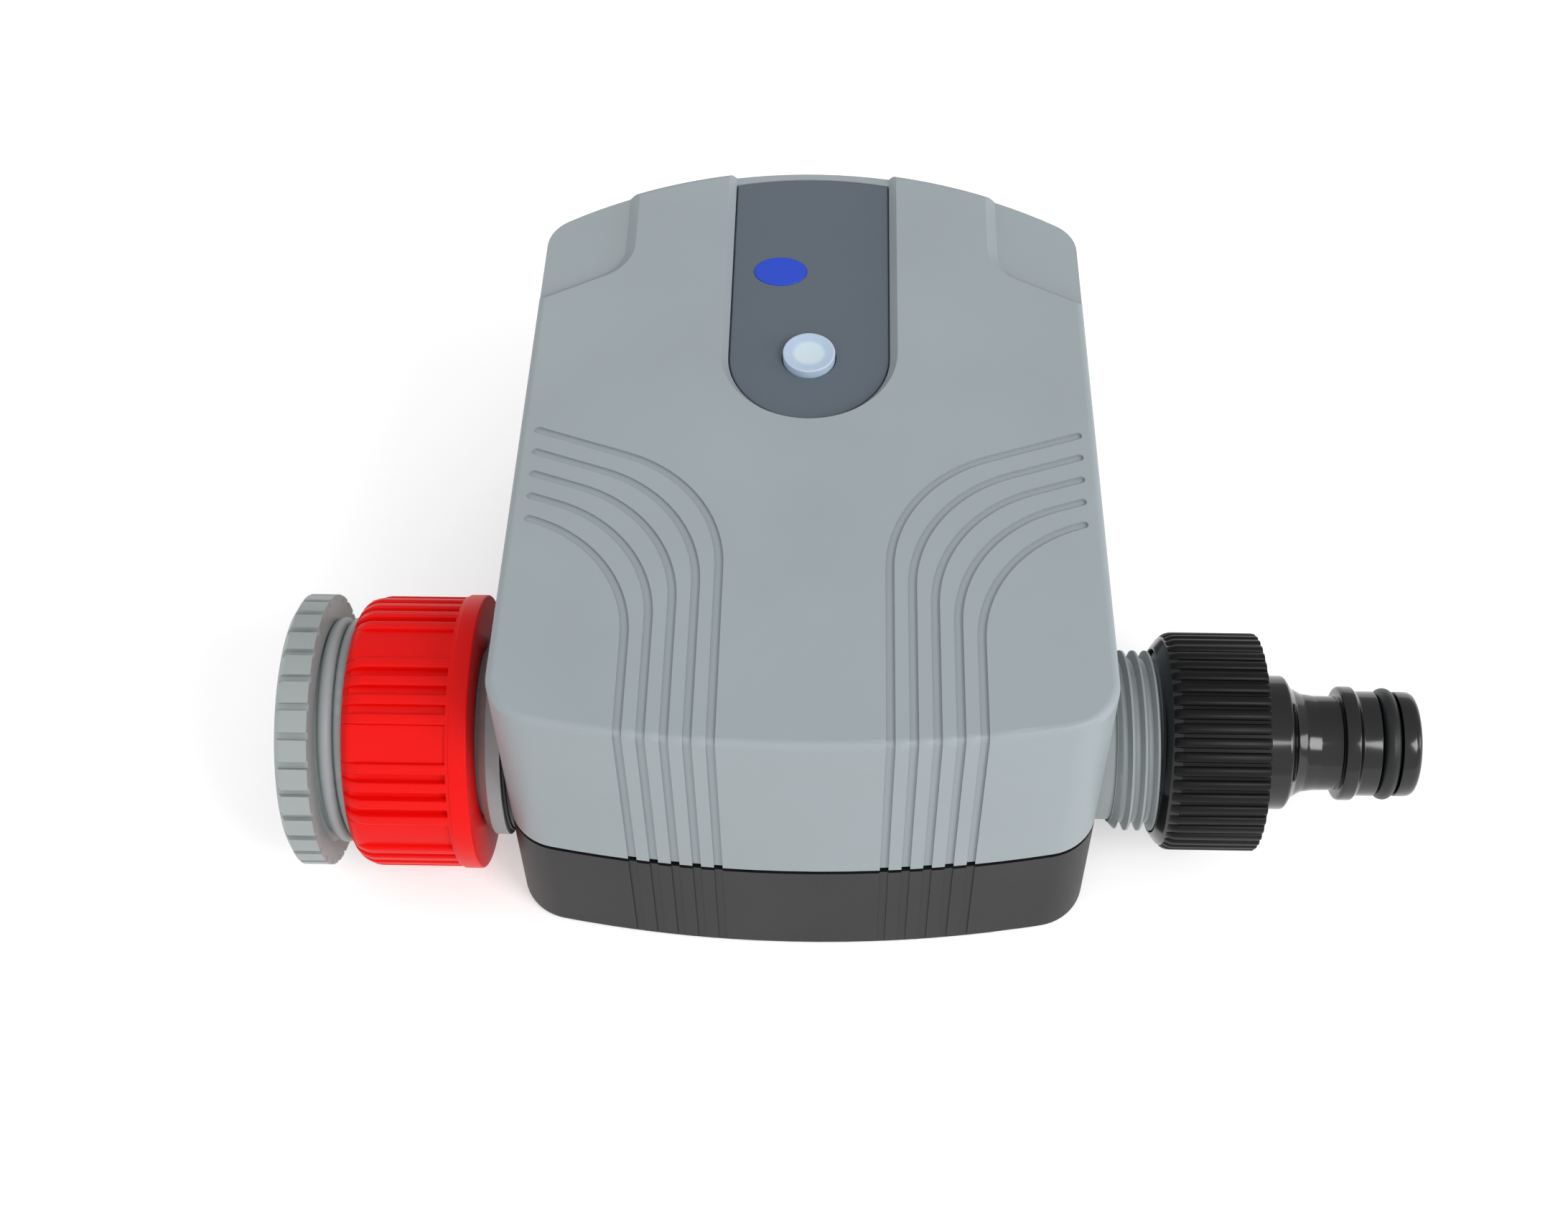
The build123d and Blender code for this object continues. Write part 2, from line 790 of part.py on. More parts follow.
def battery_leads():
    """Leads from the battery bay's roof to their socket."""
    plug_x, plug_y = plug_places[0]
    x = plug_x + battery_lead_shift[0]
    y = plug_y + battery_lead_shift[1]
    low = bay_top() + bay_roof
    first, second = battery_lead_rises
    socket = board_top - board_thick - plug_size[2]
    return lead_pair([(x, y, low, lead_spacing), (x, y, low + first, lead_spacing),
                      (plug_x, plug_y, low + second, lead_spacing), (plug_x, plug_y, socket, lead_spacing)])


# Batteries

def cell_places():
    """Middle of each battery across the case."""
    return [cell_pitch * (k - (cell_count - 1) / 2) for k in range(cell_count)]


def cell_height():
    """Height of the batteries' axes."""
    return door_thick + cell_clearance + cell_radius


def lying(radius, x, start, end):
    """Cylinder along Y at the batteries' height."""
    return Pos(x, end, cell_height()) * Rot(90, 0, 0) * Cylinder(radius, end - start, align=UP)


def batteries():
    """Four cells side by side, each second one turned round."""
    cells = []
    nub_radius, nub_length = cell_nub
    for k, x in enumerate(cell_places()):
        start = cell_front + nub_length * (k % 2)
        cell = fillet(lying(cell_radius, x, start, start + cell_length).edges().filter_by(GeomType.CIRCLE),
                      cell_edge)
        if k % 2:
            cell += lying(nub_radius, x, start - nub_length, start + 1)
        else:
            cell += lying(nub_radius, x, start + cell_length - 1, start + cell_length + nub_length)
        cells.append(cell)
    return cells


def battery_contacts():
    """Flat contact plates against the front wall of the bay."""
    plates = []
    for x in cell_places()[1::2]:
        plates.append(lying(contact_radius, x, cell_front - contact_thick, cell_front))
    for x in cell_places()[0::2]:
        plates.append(lying(contact_radius, x, cell_rear(), cell_rear() + contact_thick))
    return plates


def cell_rear():
    """Rear end of the batteries, with their nubs."""
    return cell_front + cell_length + cell_nub[1]


def battery_springs():
    """Contact springs at the other ends, as plain cones."""
    springs = []
    small, large = spring_radius
    for k, x in enumerate(cell_places()):
        if k % 2:
            base, tip, turn = cell_rear() + spring_length, cell_rear(), -90
        else:
            base, tip, turn = bay_front(), cell_front, 90
        cone = Cone(large, small, abs(tip - base), align=UP)
        springs.append(Pos(x, base, cell_height()) * Rot(-turn, 0, 0) * cone)
    return springs


def battery_door():
    """Door under the batteries, with a finger groove and four screw holes."""
    door = slab(door_plan(), 0, door_thick)
    door = chamfer(door.faces().sort_by(Axis.Z)[0].edges(), door_edge)
    for x, y in mirrored(door_screw_places):
        door -= rod(door_screw.shank + slip, -1, door_thick + 1, (x, y))
        door -= rod(door_screw.head + slip, -1, door_screw.head_height + screw_recess, (x, y))
    return door


def seal_plan():
    """The door seal's path on the rim round the bay."""
    middle = door_rim / 2
    return bay_plan(middle + door_seal_width / 2) - bay_plan(middle - door_seal_width / 2)


def door_seal():
    """Rubber seal between the door and the base."""
    return slab(seal_plan(), door_thick, door_thick + door_seal_thick)


def door_screws():
    """Four short screws that hold the battery door."""
    seat = door_screw.head_height + screw_recess
    one = screw(door_screw, door_thick - seat + door_screw_length - screw_tip_gap)
    return [Pos(x, y, seat) * one for x, y in mirrored(door_screw_places)]


# Valve

def valve_body():
    """Pipe through the case with the ball's chamber, the stem's boss and the gearbox's plate."""
    thread_start = case_half_width + outlet_pipe_length
    step = grommet_wall() - grommet_inner_flange - grommet_slack
    body = turned((tail_end, 0), (tail_end, pipe_radius), (collar_start, pipe_radius),
                  (collar_start, collar_radius - collar_edge), (collar_start + collar_edge, collar_radius),
                  (collar_end, collar_radius), (collar_end, pipe_radius), (step, pipe_radius),
                  (step, outlet_pipe_radius), (thread_start, outlet_pipe_radius),
                  (thread_start, 0))
    ridge_ends = (thread_start - thread_lead_in / 2, outlet_end)
    body += threaded_rod(outlet_thread, thread_start, outlet_end, faded=ridge_ends)
    plate_top = gearbox_floor
    plate_low = plate_top - mount_plate_thick
    body += block(mount_plate_x, (-mount_plate_half_depth, mount_plate_half_depth), (plate_low, plate_top))
    body += rod(boss_radius, pipe_height, plate_top)
    for x, y in gearbox_ear_places:
        body += rod(gearbox_screw.shank + ear_post_wall, pipe_height + ear_post_start, plate_top, (x, y))
    body -= pipe(valve_bore, tail_end - 1, seat_shoulder)
    body -= pipe(outlet_bore, 0, outlet_end + 1)
    body -= turned((snap_ring_start - seam, pipe_radius - snap_ring_groove),
                   (snap_ring_start - seam, pipe_radius + 1),
                   (snap_ring_start + snap_ring_thick + seam, pipe_radius + 1),
                   (snap_ring_start + snap_ring_thick + seam, pipe_radius - snap_ring_groove))
    body -= rod(stem_barrel + stem_clearance, pipe_height, plate_top + 1)
    body -= rod(stem_collar + stem_clearance, plate_top - stem_collar_thick - 3 * seam, plate_top + 1)
    for place in gearbox_ear_places:
        body -= rod(gearbox_screw.shank + pilot_clearance,
                    plate_top - gearbox_screw_length + gearbox_ear_thick, plate_top + 1, place)
    return body


def valve_ball():
    """Ball with its port across the pipe, shut, and a slot for the stem on top."""
    ball = Pos(0, 0, pipe_height) * Sphere(ball_radius)
    ball -= Pos(0, 0, pipe_height) * Rot(90, 0, 0) * Cylinder(ball_port, 3 * ball_radius)
    slot_floor = pipe_height + ball_radius - stem_blade_depth - stem_clearance
    return ball - Pos(0, 0, slot_floor) * Box(2 * ball_radius, stem_blade[1] + 2 * stem_clearance,
                                              ball_radius, align=UP)


def ball_seats():
    """Two sealing rings that hug the ball."""
    ring = pipe(valve_bore - ring_clearance, seat_shoulder - seat_length, seat_shoulder)
    ring -= pipe(seat_bore, 0, 2 * seat_shoulder)
    ring -= Pos(0, 0, pipe_height) * Rot(0, 90, 0) * Sphere(ball_radius + ring_clearance)
    return both_sides(ring)


def seat_retainer():
    """Sleeve that holds the inlet seat against the ball."""
    end = -seat_shoulder
    sleeve = pipe(valve_bore - ring_clearance, end - retainer_length, end)
    return sleeve - pipe(retainer_bore, end - retainer_length - 1, end + 1)


def stem_groove_heights():
    """Heights of the two seals on the valve's stem."""
    low = pipe_height + valve_bore + stem_groove_start
    return [low, low + stem_groove_pitch]


def valve_stem():
    """Stem that turns the ball: blade, sealed barrel, collar and flatted drive."""
    ball_top = pipe_height + ball_radius
    barrel_low = pipe_height + valve_bore
    collar_top = gearbox_floor - 2 * seam
    stem = Pos(0, 0, ball_top - stem_blade_depth) * Box(*stem_blade, stem_blade_depth + 1, align=UP)
    stem += rod(stem_neck, ball_top, barrel_low + 0.1)
    stem += rod(stem_barrel, barrel_low, collar_top)
    stem += rod(stem_collar, collar_top - stem_collar_thick, collar_top)
    drive = rod(stem_drive, collar_top - 0.1, output_low() + output_thick)
    stem += drive & block((-stem_flat, stem_flat), (-9, 9), (0, case_height))
    for z in stem_groove_heights():
        low = z - stem_groove_width / 2
        high = z + stem_groove_width / 2
        stem -= rod(stem_barrel + 1, low, high) - rod(stem_barrel - 2 * o_ring_wire, low, high)
    return stem


def stem_o_rings():
    """Two O-rings in the stem's grooves."""
    one = Torus(stem_barrel - o_ring_wire + seam, o_ring_wire)
    return [Pos(0, 0, z) * one for z in stem_groove_heights()]


# Gears

def level(number):
    """Underside of the gears on one level of the gearbox."""
    return gearbox_floor + gearbox_floor_thick + gear_floor_gap + gear_level_step * number


def output_low():
    """Underside of the output gear."""
    return level(2)


def lid_low():
    """Underside of the gearbox's lid."""
    return output_low() + output_thick + gear_lid_gap


def centre_distance(first, second):
    """Distance between the axes of two meshed gears."""
    return gear_module * (first + second) / 2


def step_from(place, distance, direction):
    """The point at a distance and direction from another."""
    return (place[0] + distance * cos(radians(direction)), place[1] + distance * sin(radians(direction)))


second_at = step_from((0, 0), centre_distance(pinion_teeth, output_teeth), second_gear_direction)
first_at = step_from(second_at, centre_distance(pinion_teeth, wheel_teeth), first_gear_direction)
motor_reach = centre_distance(motor_teeth, wheel_teeth)
motor_at = (first_at[0] + sqrt(motor_reach ** 2 - (motor_y - first_at[1]) ** 2), motor_y)


def mesh_phase(teeth, phase, towards, next_teeth):
    """Turn of the next gear that puts a gap of it opposite a tooth of this one."""
    offset = 0.5 - (towards - phase) * teeth / 360
    return towards + 180 - offset * 360 / next_teeth


def involute(angle):
    """Involute function of an angle in radians."""
    return tan(angle) - angle


def tooth_half_angle(teeth, radius):
    """Half of a tooth's angle at a radius, in degrees."""
    pitch_radius = gear_module * teeth / 2
    base = pitch_radius * cos(radians(pressure_angle))
    slack = tooth_backlash / 2 / pitch_radius
    flank = involute(acos(base / max(radius, base)))
    return degrees(pi / 2 / teeth - slack + involute(radians(pressure_angle)) - flank)


def tip_radius(teeth):
    """Radius over a gear's teeth."""
    return gear_module * (teeth / 2 + 0.85)


def gear(teeth, low, high, at, phase):
    """Spur gear with involute teeth; phase is the direction of one tooth."""
    root = gear_module * (teeth / 2 - 1.1)
    tip = tip_radius(teeth)
    middle = (root + tip) / 2
    points = []
    for k in range(teeth):
        aim = phase + 360 * k / teeth
        for radius, side in ((root, -1), (middle, -1), (tip, -1), (tip, 1), (middle, 1), (root, 1)):
            turn = radians(aim + side * tooth_half_angle(teeth, radius))
            points.append((radius * cos(turn), radius * sin(turn)))
    return slab(Pos(*at) * Polygon(*points, align=None), low, high)


second_direction = second_gear_direction
first_direction = first_gear_direction
motor_direction = degrees(acos((motor_at[0] - first_at[0]) / motor_reach))
second_phase = mesh_phase(output_teeth, 0, second_direction, pinion_teeth)
first_phase = mesh_phase(wheel_teeth, second_phase, first_direction, pinion_teeth)
motor_phase = mesh_phase(wheel_teeth, first_phase, motor_direction, motor_teeth)


def output_gear():
    """Gear on the valve's stem."""
    wheel = gear(output_teeth, output_low(), output_low() + output_thick, (0, 0), 0)
    drive = rod(stem_drive + stem_clearance, 0, case_height)
    flat = stem_flat + stem_clearance
    return wheel - (drive & block((-flat, flat), (-9, 9), (0, case_height)))


def compound_gear(number, at, phase):
    """Wheel with a pinion on top of it, on a steel pin."""
    low = level(number)
    wheel = gear(wheel_teeth, low, low + gear_thick, at, phase)
    wheel += gear(pinion_teeth, low + gear_thick - seam, level(number + 1) + gear_thick + pinion_overrun,
                  at, phase)
    return wheel - rod(gear_pin_radius + gear_pin_clearance, 0, case_height, at)


def gear_pins():
    """Two fixed pins that carry the compound gears."""
    low = gearbox_floor + gear_pin_floor
    return [rod(gear_pin_radius, low, lid_low() + gear_pin_in_lid, place) for place in (first_at, second_at)]


def motor_pinion():
    """Brass pinion on the motor's shaft."""
    pinion = gear(motor_teeth, level(0), level(0) + gear_thick + pinion_overrun, motor_at, motor_phase)
    return pinion - rod(motor_shaft_radius + seam, 0, case_height, motor_at)


def motor_shaft():
    """The motor's shaft."""
    low = gearbox_floor - motor_length + motor_shaft_start
    return rod(motor_shaft_radius, low, gearbox_floor + motor_shaft_out, motor_at)


def motor():
    """Small motor under the gearbox's floor."""
    x, y = motor_at
    low = gearbox_floor - motor_length
    can = rod(motor_width / 2, low, gearbox_floor, motor_at)
    can &= block((x - motor_width, x + motor_width), (y - motor_depth / 2, y + motor_depth / 2),
                 (low, gearbox_floor))
    can += rod(motor_boss[0], low - motor_boss[1], gearbox_floor, motor_at)
    for side in (-1, 1):
        can += Pos(x + side * motor_tag_offset, y, low - motor_tag[2]) * Box(
            motor_tag[0], motor_tag[1], 2 * motor_tag[2], align=UP)
    bearing = motor_shaft_radius + gear_pin_clearance
    return can - rod(bearing, low + motor_shaft_well, gearbox_floor + 1, motor_at)


def gearbox_room(grow=0.0):
    """The gears' room seen from above."""
    left = second_at[0] - tip_radius(wheel_teeth) - gear_room - grow
    right = tip_radius(output_teeth) + gear_room + grow
    front = -tip_radius(output_teeth) - gear_room - grow
    rear = first_at[1] + tip_radius(wheel_teeth) + gear_room + grow
    return Pos(left, front) * Rectangle(right - left, rear - front, align=(Align.MIN, Align.MIN))


def lid_screw_places():
    """Corners of the gearbox, a little inside its walls."""
    points = gearbox_room(gear_wall - lid_screw.head - lid_screw_overhang).vertices()
    return [(point.X, point.Y) for point in points]


def gearbox_housing():
    """Open box round the gears, with ears that are screwed to the valve."""
    floor_top = gearbox_floor + gearbox_floor_thick
    outer = fillet(gearbox_room(gear_wall).vertices(), gearbox_corner)
    box = slab(outer, gearbox_floor, lid_low())
    box -= slab(fillet(gearbox_room().vertices(), gearbox_inner_corner), floor_top, lid_low() + 1)
    for place in lid_screw_places():
        box += rod(lid_screw.head, gearbox_floor, lid_low(), place)
    for x, y in gearbox_ear_places:
        inward = x - (1 if x > 0 else -1) * gearbox_ear_reach
        half = gearbox_screw.head + gearbox_ear_rim
        ear_top = gearbox_floor + gearbox_ear_thick
        ear = rod(half, gearbox_floor, ear_top, (x, y))
        ear += block(sorted((x, inward)), (y - half, y + half), (gearbox_floor, ear_top))
        box += ear - slab(gearbox_room(), floor_top, lid_low() + 1)
        box -= rod(gearbox_screw.shank + slip, gearbox_floor - 1, ear_top + 1, (x, y))
    for place in lid_screw_places():
        box -= rod(lid_screw.shank + pilot_clearance, lid_low() - lid_screw_depth, lid_low() + 1, place)
    box -= rod(stem_drive + 4 * slip, 0, case_height)
    box -= rod(motor_shaft_radius + 3 * slip, 0, case_height, motor_at)
    for place in (first_at, second_at):
        box -= rod(gear_pin_radius + seam, gearbox_floor + gear_pin_floor, case_height, place)
    return box


def gearbox_lid():
    """Flat lid over the gears, which holds the tops of the pins."""
    low = lid_low()
    lid = slab(fillet(gearbox_room(gear_wall).vertices(), gearbox_corner), low, low + gearbox_lid_thick)
    lid = chamfer(lid.faces().sort_by(Axis.Z)[-1].edges(), gearbox_lid_edge)
    for place in lid_screw_places():
        lid -= rod(lid_screw.shank + slip, 0, case_height, place)
    for place in (first_at, second_at):
        lid -= rod(gear_pin_radius + seam, low - 1, low + gear_pin_in_lid, place)
    return lid


def lid_screws():
    """Four small screws in the gearbox's lid, heads up."""
    reach = gearbox_lid_thick + lid_screw_depth - screw_tip_gap
    one = Rot(180, 0, 0) * screw(lid_screw, reach, lid_screw_slot)
    return [Pos(x, y, lid_low() + gearbox_lid_thick) * one for x, y in lid_screw_places()]


def gearbox_screws():
    """Four screws through the gearbox's ears into the valve's plate, heads up."""
    one = Rot(180, 0, 0) * screw(gearbox_screw, gearbox_screw_length - screw_tip_gap)
    return [Pos(x, y, gearbox_floor + gearbox_ear_thick) * one for x, y in gearbox_ear_places]


# Fittings

def grommet_wall():
    """Distance from the middle plane to the grommets' inner ends."""
    return case_half_width - case_wall - tongue_wall - slip - 2 * grommet_slack


def inlet_grommet():
    """Rubber ring in the inlet side's hole, with a lip outside."""
    hole = pipe_radius + grommet_thick - seam
    wall_out = -half_width(-hole - grommet_flange) - seam
    wall_in = -grommet_wall()
    bore = pipe_radius + seam
    return turned((collar_end, bore), (collar_end, hole + grommet_lip), (wall_out, hole + grommet_lip),
                  (wall_out, hole), (wall_in, hole), (wall_in, bore))


def outlet_grommet():
    """Rubber ring in the outlet side's hole, with a flange inside."""
    wall_in = grommet_wall()
    hole = outlet_pipe_radius + grommet_thick - seam
    bore = outlet_pipe_radius + seam
    start = wall_in - grommet_inner_flange
    end = case_half_width - grommet_sink
    return turned((start, bore), (start, hole + grommet_flange), (wall_in, hole + grommet_flange),
                  (wall_in, hole), (end, hole), (end, bore))


def ring_sector(inner, outer, start_angle, width):
    """Part of a flat ring between two radii, in degrees about the pipe."""
    steps = 4
    angles = [radians(start_angle + width * k / steps) for k in range(steps + 1)]
    points = [(outer * cos(a), outer * sin(a)) for a in angles]
    points += [(inner * cos(a), inner * sin(a)) for a in reversed(angles)]
    return Polygon(*points, align=None)


def inlet_nut():
    """Red swivel nut: ribbed outside, threaded inside, with a shoulder behind the snap ring."""
    flange_start = nut_end - nut_flange_length
    body = turned((nut_start, 0), (nut_start, nut_nose_radius),
                  (nut_start + nut_nose_step[0], nut_nose_step[1]),
                  (nut_start + nut_nose_length, nut_radius), (flange_start, nut_radius),
                  (flange_start, nut_flange_radius), (nut_end, nut_flange_radius), (nut_end, 0))
    body = fillet(body.edges().filter_by(GeomType.CIRCLE).sort_by(Axis.X)[:3], nut_nose_round)
    period = 360 / nut_lobes
    cuts = []
    for lobe in range(nut_lobes):
        start = lobe * period - nut_wide_recess / 2
        cuts.append(ring_sector(nut_radius - nut_wide_depth, nut_radius + 2, start, nut_wide_recess))
        start += nut_wide_recess + nut_rib_angle
        for _ in range(3):
            cuts.append(ring_sector(nut_radius - nut_groove_depth, nut_radius + 2, start, nut_groove_angle))
            start += nut_groove_angle + nut_rib_angle
    length = flange_start - nut_start + 1
    prisms = [extrude(plan, length) for plan in cuts]
    place = Pos(nut_start - 1, 0, pipe_height) * Rot(thread_phase + nut_wide_turn, 0, 0) * Rot(0, 90, 0)
    body -= [place * prism for prism in prisms]
    body -= pipe(nut_bore, nut_start, nut_end + 1)
    body -= pipe(nut_thread.core + thread_clearance, nut_start - 1, nut_shoulder)
    body -= threaded_rod(nut_thread, nut_start - 1, nut_shoulder - nut_thread_relief, thread_clearance)
    return body


def snap_ring():
    """Split steel ring on the pipe's tail that keeps the nut on."""
    ring = pipe(snap_ring_radius, snap_ring_start, snap_ring_start + snap_ring_thick)
    low = snap_ring_start - 1
    high = snap_ring_start + snap_ring_thick + 1
    ring -= pipe(pipe_radius - snap_ring_groove + seam, low, high)
    return ring - block((low, high), (-snap_ring_split / 2, snap_ring_split / 2),
                        (pipe_height, pipe_height + 2 * snap_ring_radius))


def reducer_ring():
    """Grey ring with finger pads that brings the nut's thread down to the tap's."""
    body = turned((ring_start, 0), (ring_start, ring_radius - ring_edge_depth),
                  (ring_start + ring_edge, ring_radius), (ring_face_end, ring_radius), (ring_face_end, 0))
    groove = Pos(ring_radius, 0) * Rectangle(2 * ring_groove_depth, ring_groove_width)
    cuts = []
    for k in range(ring_pads):
        cuts.append(extrude(Rot(0, 0, 360 * k / ring_pads) * groove, ring_face_end - ring_start + 2))
    place = Pos(ring_start - 1, 0, pipe_height) * Rot(0, 90, 0)
    body -= [place * cut for cut in cuts]
    start = ring_face_end - thread_end_sink
    body += threaded_rod(nut_thread, start, ring_end, faded=(start - 2 * thread_lead_in, ring_end))
    body -= pipe(tap_mouth, ring_start - 1, ring_start + tap_mouth_length)
    body -= threaded_rod(tap_thread, ring_start - 1, ring_ledge - tap_thread_relief)
    body -= pipe(tap_thread.core, ring_start - 1, ring_ledge)
    return body - pipe(ring_ledge_bore, ring_start, ring_end + 1)


def filter_washer():
    """Rubber washer on the reducer's ledge, which carries the filter."""
    washer = pipe(filter_washer_radius, ring_ledge - filter_washer_thick, ring_ledge)
    return washer - pipe(filter_washer_bore, ring_ledge - 2 * filter_washer_thick, ring_ledge + 1)


def filter_screen():
    """Cone of fine steel mesh that points down the pipe."""
    start = ring_ledge - filter_washer_thick
    wide = filter_washer_bore - seam
    thin = filter_screen_thick
    return turned((start, wide), (ring_ledge, wide), (filter_cone_end, filter_cone_tip), (filter_cone_end, 0),
                  (filter_cone_end - thin, 0), (filter_cone_end - thin, filter_cone_tip - thin),
                  (ring_ledge, wide - thin), (start, wide - thin))


def inlet_washer():
    """Flat washer between the reducer and the pipe's tail."""
    washer = pipe(inlet_washer_radius, ring_end, tail_end)
    return washer - pipe(valve_bore + washer_bore_gap, ring_end - 1, tail_end + 1)


def hose_connector():
    """Black connector: ribbed grip, neck, throat and nose for a click-on hose fitting."""
    flange_start, flange_end = nose_flange
    first_edge, last_edge = nose_flange_edges
    body = turned((connector_start, 0), (connector_start, connector_mouth + connector_lip_edge),
                  *connector_shoulder, (connector_shoulder_end, connector_radius),
                  (connector_body_end, connector_radius), (connector_body_end, neck_radius),
                  (neck_end, neck_radius), *neck_flare, (throat_start, throat_radius),
                  (flange_start, throat_radius), (flange_start, nose_flange_radius - first_edge),
                  (flange_start + first_edge, nose_flange_radius),
                  (flange_end - last_edge, nose_flange_radius),
                  (flange_end, nose_flange_radius - last_edge), (flange_end, nose_radius),
                  (nose_groove[0], nose_radius), (nose_groove[0], nose_groove_radius),
                  (nose_groove[1], nose_groove_radius), (nose_groove[1], nose_radius),
                  (nose_end, nose_radius), (nose_end, 0))
    body = fillet(body.edges().filter_by(GeomType.CIRCLE).sort_by(Axis.X)[-1], nose_round)
    groove_at = connector_radius + connector_rib_groove - connector_rib_sink
    groove = Pos(groove_at, 0) * Circle(connector_rib_groove)
    length = connector_body_end - connector_start + 2
    place = Pos(connector_start - 1, 0, pipe_height) * Rot(0, 90, 0)
    for k in range(connector_ribs):
        body -= place * extrude(Rot(0, 0, 360 * k / connector_ribs) * groove, length)
    washer_end = outlet_end + outlet_washer_thick
    body -= pipe(connector_mouth, connector_start - 1, connector_start + connector_mouth_length)
    body -= pipe(outlet_thread.core + thread_clearance, connector_start - 1, washer_end)
    thread_end = washer_end - connector_thread_relief
    body -= threaded_rod(outlet_thread, connector_start - 1, thread_end, thread_clearance)
    return body - pipe(nose_bore, connector_start, nose_end + 1)


def outlet_washer():
    """Flat washer between the outlet pipe and the connector."""
    washer = pipe(outlet_washer_radius, outlet_end, outlet_end + outlet_washer_thick)
    return washer - pipe(outlet_bore - washer_bore_gap, outlet_end - 1, outlet_end + outlet_washer_thick + 1)


def nose_o_ring():
    """O-ring on the connector's nose."""
    middle = (nose_groove[0] + nose_groove[1]) / 2
    ring = Torus(nose_groove_radius + nose_o_ring_wire + seam, nose_o_ring_wire)
    return Pos(middle, 0, pipe_height) * Rot(0, 90, 0) * ring


def save(name, shape):
    """Write one sub-part, whose solids may be several alike."""
    if isinstance(shape, list):
        shape = Compound(children=[solid for item in shape for solid in item.solids()])
    export_step(shape, f"parts/{name}.step")


save("top_cover", top_cover())
save("base_shell", base_shell())
save("case_gasket", case_gasket())
save("case_screws", case_screws())
save("display_panel", display_panel())
save("badge", badge())
save("push_button", push_button())
save("tact_switch", tact_switch())
save("switch_plunger", switch_plunger_piece())
save("status_led", status_led())
save("circuit_board", circuit_board())
save("board_screws", board_screws())
save("radio_module", radio_module())
save("capacitor", capacitor())
save("lead_sockets", lead_sockets())
save("motor_leads", motor_leads())
save("battery_leads", battery_leads())
save("batteries", batteries())
save("battery_contacts", battery_contacts())
save("battery_springs", battery_springs())
save("battery_door", battery_door())
save("door_seal", door_seal())
save("door_screws", door_screws())
save("valve_body", valve_body())
save("valve_ball", valve_ball())
save("ball_seats", ball_seats())
save("seat_retainer", seat_retainer())
save("valve_stem", valve_stem())
save("stem_o_rings", stem_o_rings())
save("output_gear", output_gear())
save("second_gear", compound_gear(1, second_at, second_phase))
save("first_gear", compound_gear(0, first_at, first_phase))
save("motor_pinion", motor_pinion())
save("motor_shaft", motor_shaft())
save("motor", motor())
save("gear_pins", gear_pins())
save("gearbox_housing", gearbox_housing())
save("gearbox_lid", gearbox_lid())
save("lid_screws", lid_screws())
save("gearbox_screws", gearbox_screws())
save("inlet_grommet", inlet_grommet())
save("outlet_grommet", outlet_grommet())
save("inlet_nut", inlet_nut())
save("snap_ring", snap_ring())
save("reducer_ring", reducer_ring())
save("filter_washer", filter_washer())
save("filter_screen", filter_screen())
save("inlet_washer", inlet_washer())
save("hose_connector", hose_connector())
save("outlet_washer", outlet_washer())
save("nose_o_ring", nose_o_ring())
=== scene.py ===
# %% [markdown]
# # A battery water timer for a garden tap
# The timer hangs on a tap: a light grey case on a dark base, with a red swivel nut and a grey
# reducer ring on one side and a black click-on hose tail on the other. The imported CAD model
# gives every size and place. This lesson adds what the eye meets: edges as soft as a mould
# leaves them, rounded threads, finger ribs, and the finish of each plastic, rubber and metal.

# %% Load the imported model
from math import cos, pi, radians, sin, tan, tau

import bmesh
import bpy
from mathutils import Matrix, Vector


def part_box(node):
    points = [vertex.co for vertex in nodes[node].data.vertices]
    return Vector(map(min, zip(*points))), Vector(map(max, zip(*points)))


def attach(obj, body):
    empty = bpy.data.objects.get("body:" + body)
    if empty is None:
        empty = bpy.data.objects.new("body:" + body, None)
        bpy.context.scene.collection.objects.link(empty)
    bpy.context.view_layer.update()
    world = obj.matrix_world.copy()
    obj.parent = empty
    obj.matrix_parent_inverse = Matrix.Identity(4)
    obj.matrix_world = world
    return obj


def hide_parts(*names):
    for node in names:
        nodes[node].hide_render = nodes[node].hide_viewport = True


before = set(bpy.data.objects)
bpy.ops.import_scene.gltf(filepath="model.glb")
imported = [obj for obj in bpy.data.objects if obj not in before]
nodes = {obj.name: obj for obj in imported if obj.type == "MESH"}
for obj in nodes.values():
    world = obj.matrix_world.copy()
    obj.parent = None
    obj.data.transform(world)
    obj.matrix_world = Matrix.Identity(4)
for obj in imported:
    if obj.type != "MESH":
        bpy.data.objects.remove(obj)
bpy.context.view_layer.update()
mm = 0.001
# The pipe's axis lies this far above the floor, in millimetres
axis_height = 22.2

# %% [markdown]
# ## A few small tools
# Every finish is a graph of nodes, and so is every pattern of ribs. One helper adds a node,
# sets what is a value and links what is a socket. Two more make the nodes that come up most:
# a piece of arithmetic, and a noise stretched to a range. Colours are written as hex values,
# as a painter would name them, and turned to the linear light that shaders take.

# %% Add a node
def put(tree, kind, inputs=None, **settings):
    """Add a node, with its settings, its values and its links."""
    node = tree.nodes.new(kind)
    for key, value in settings.items():
        setattr(node, key, value)
    for key, value in (inputs or {}).items():
        if isinstance(value, bpy.types.NodeSocket):
            tree.links.new(value, node.inputs[key])
        else:
            node.inputs[key].default_value = value
    return node


def reckon(tree, operation, *values):
    """A math node on up to three values or sockets; returns its result."""
    return put(tree, "ShaderNodeMath", dict(enumerate(values)), operation=operation).outputs[0]


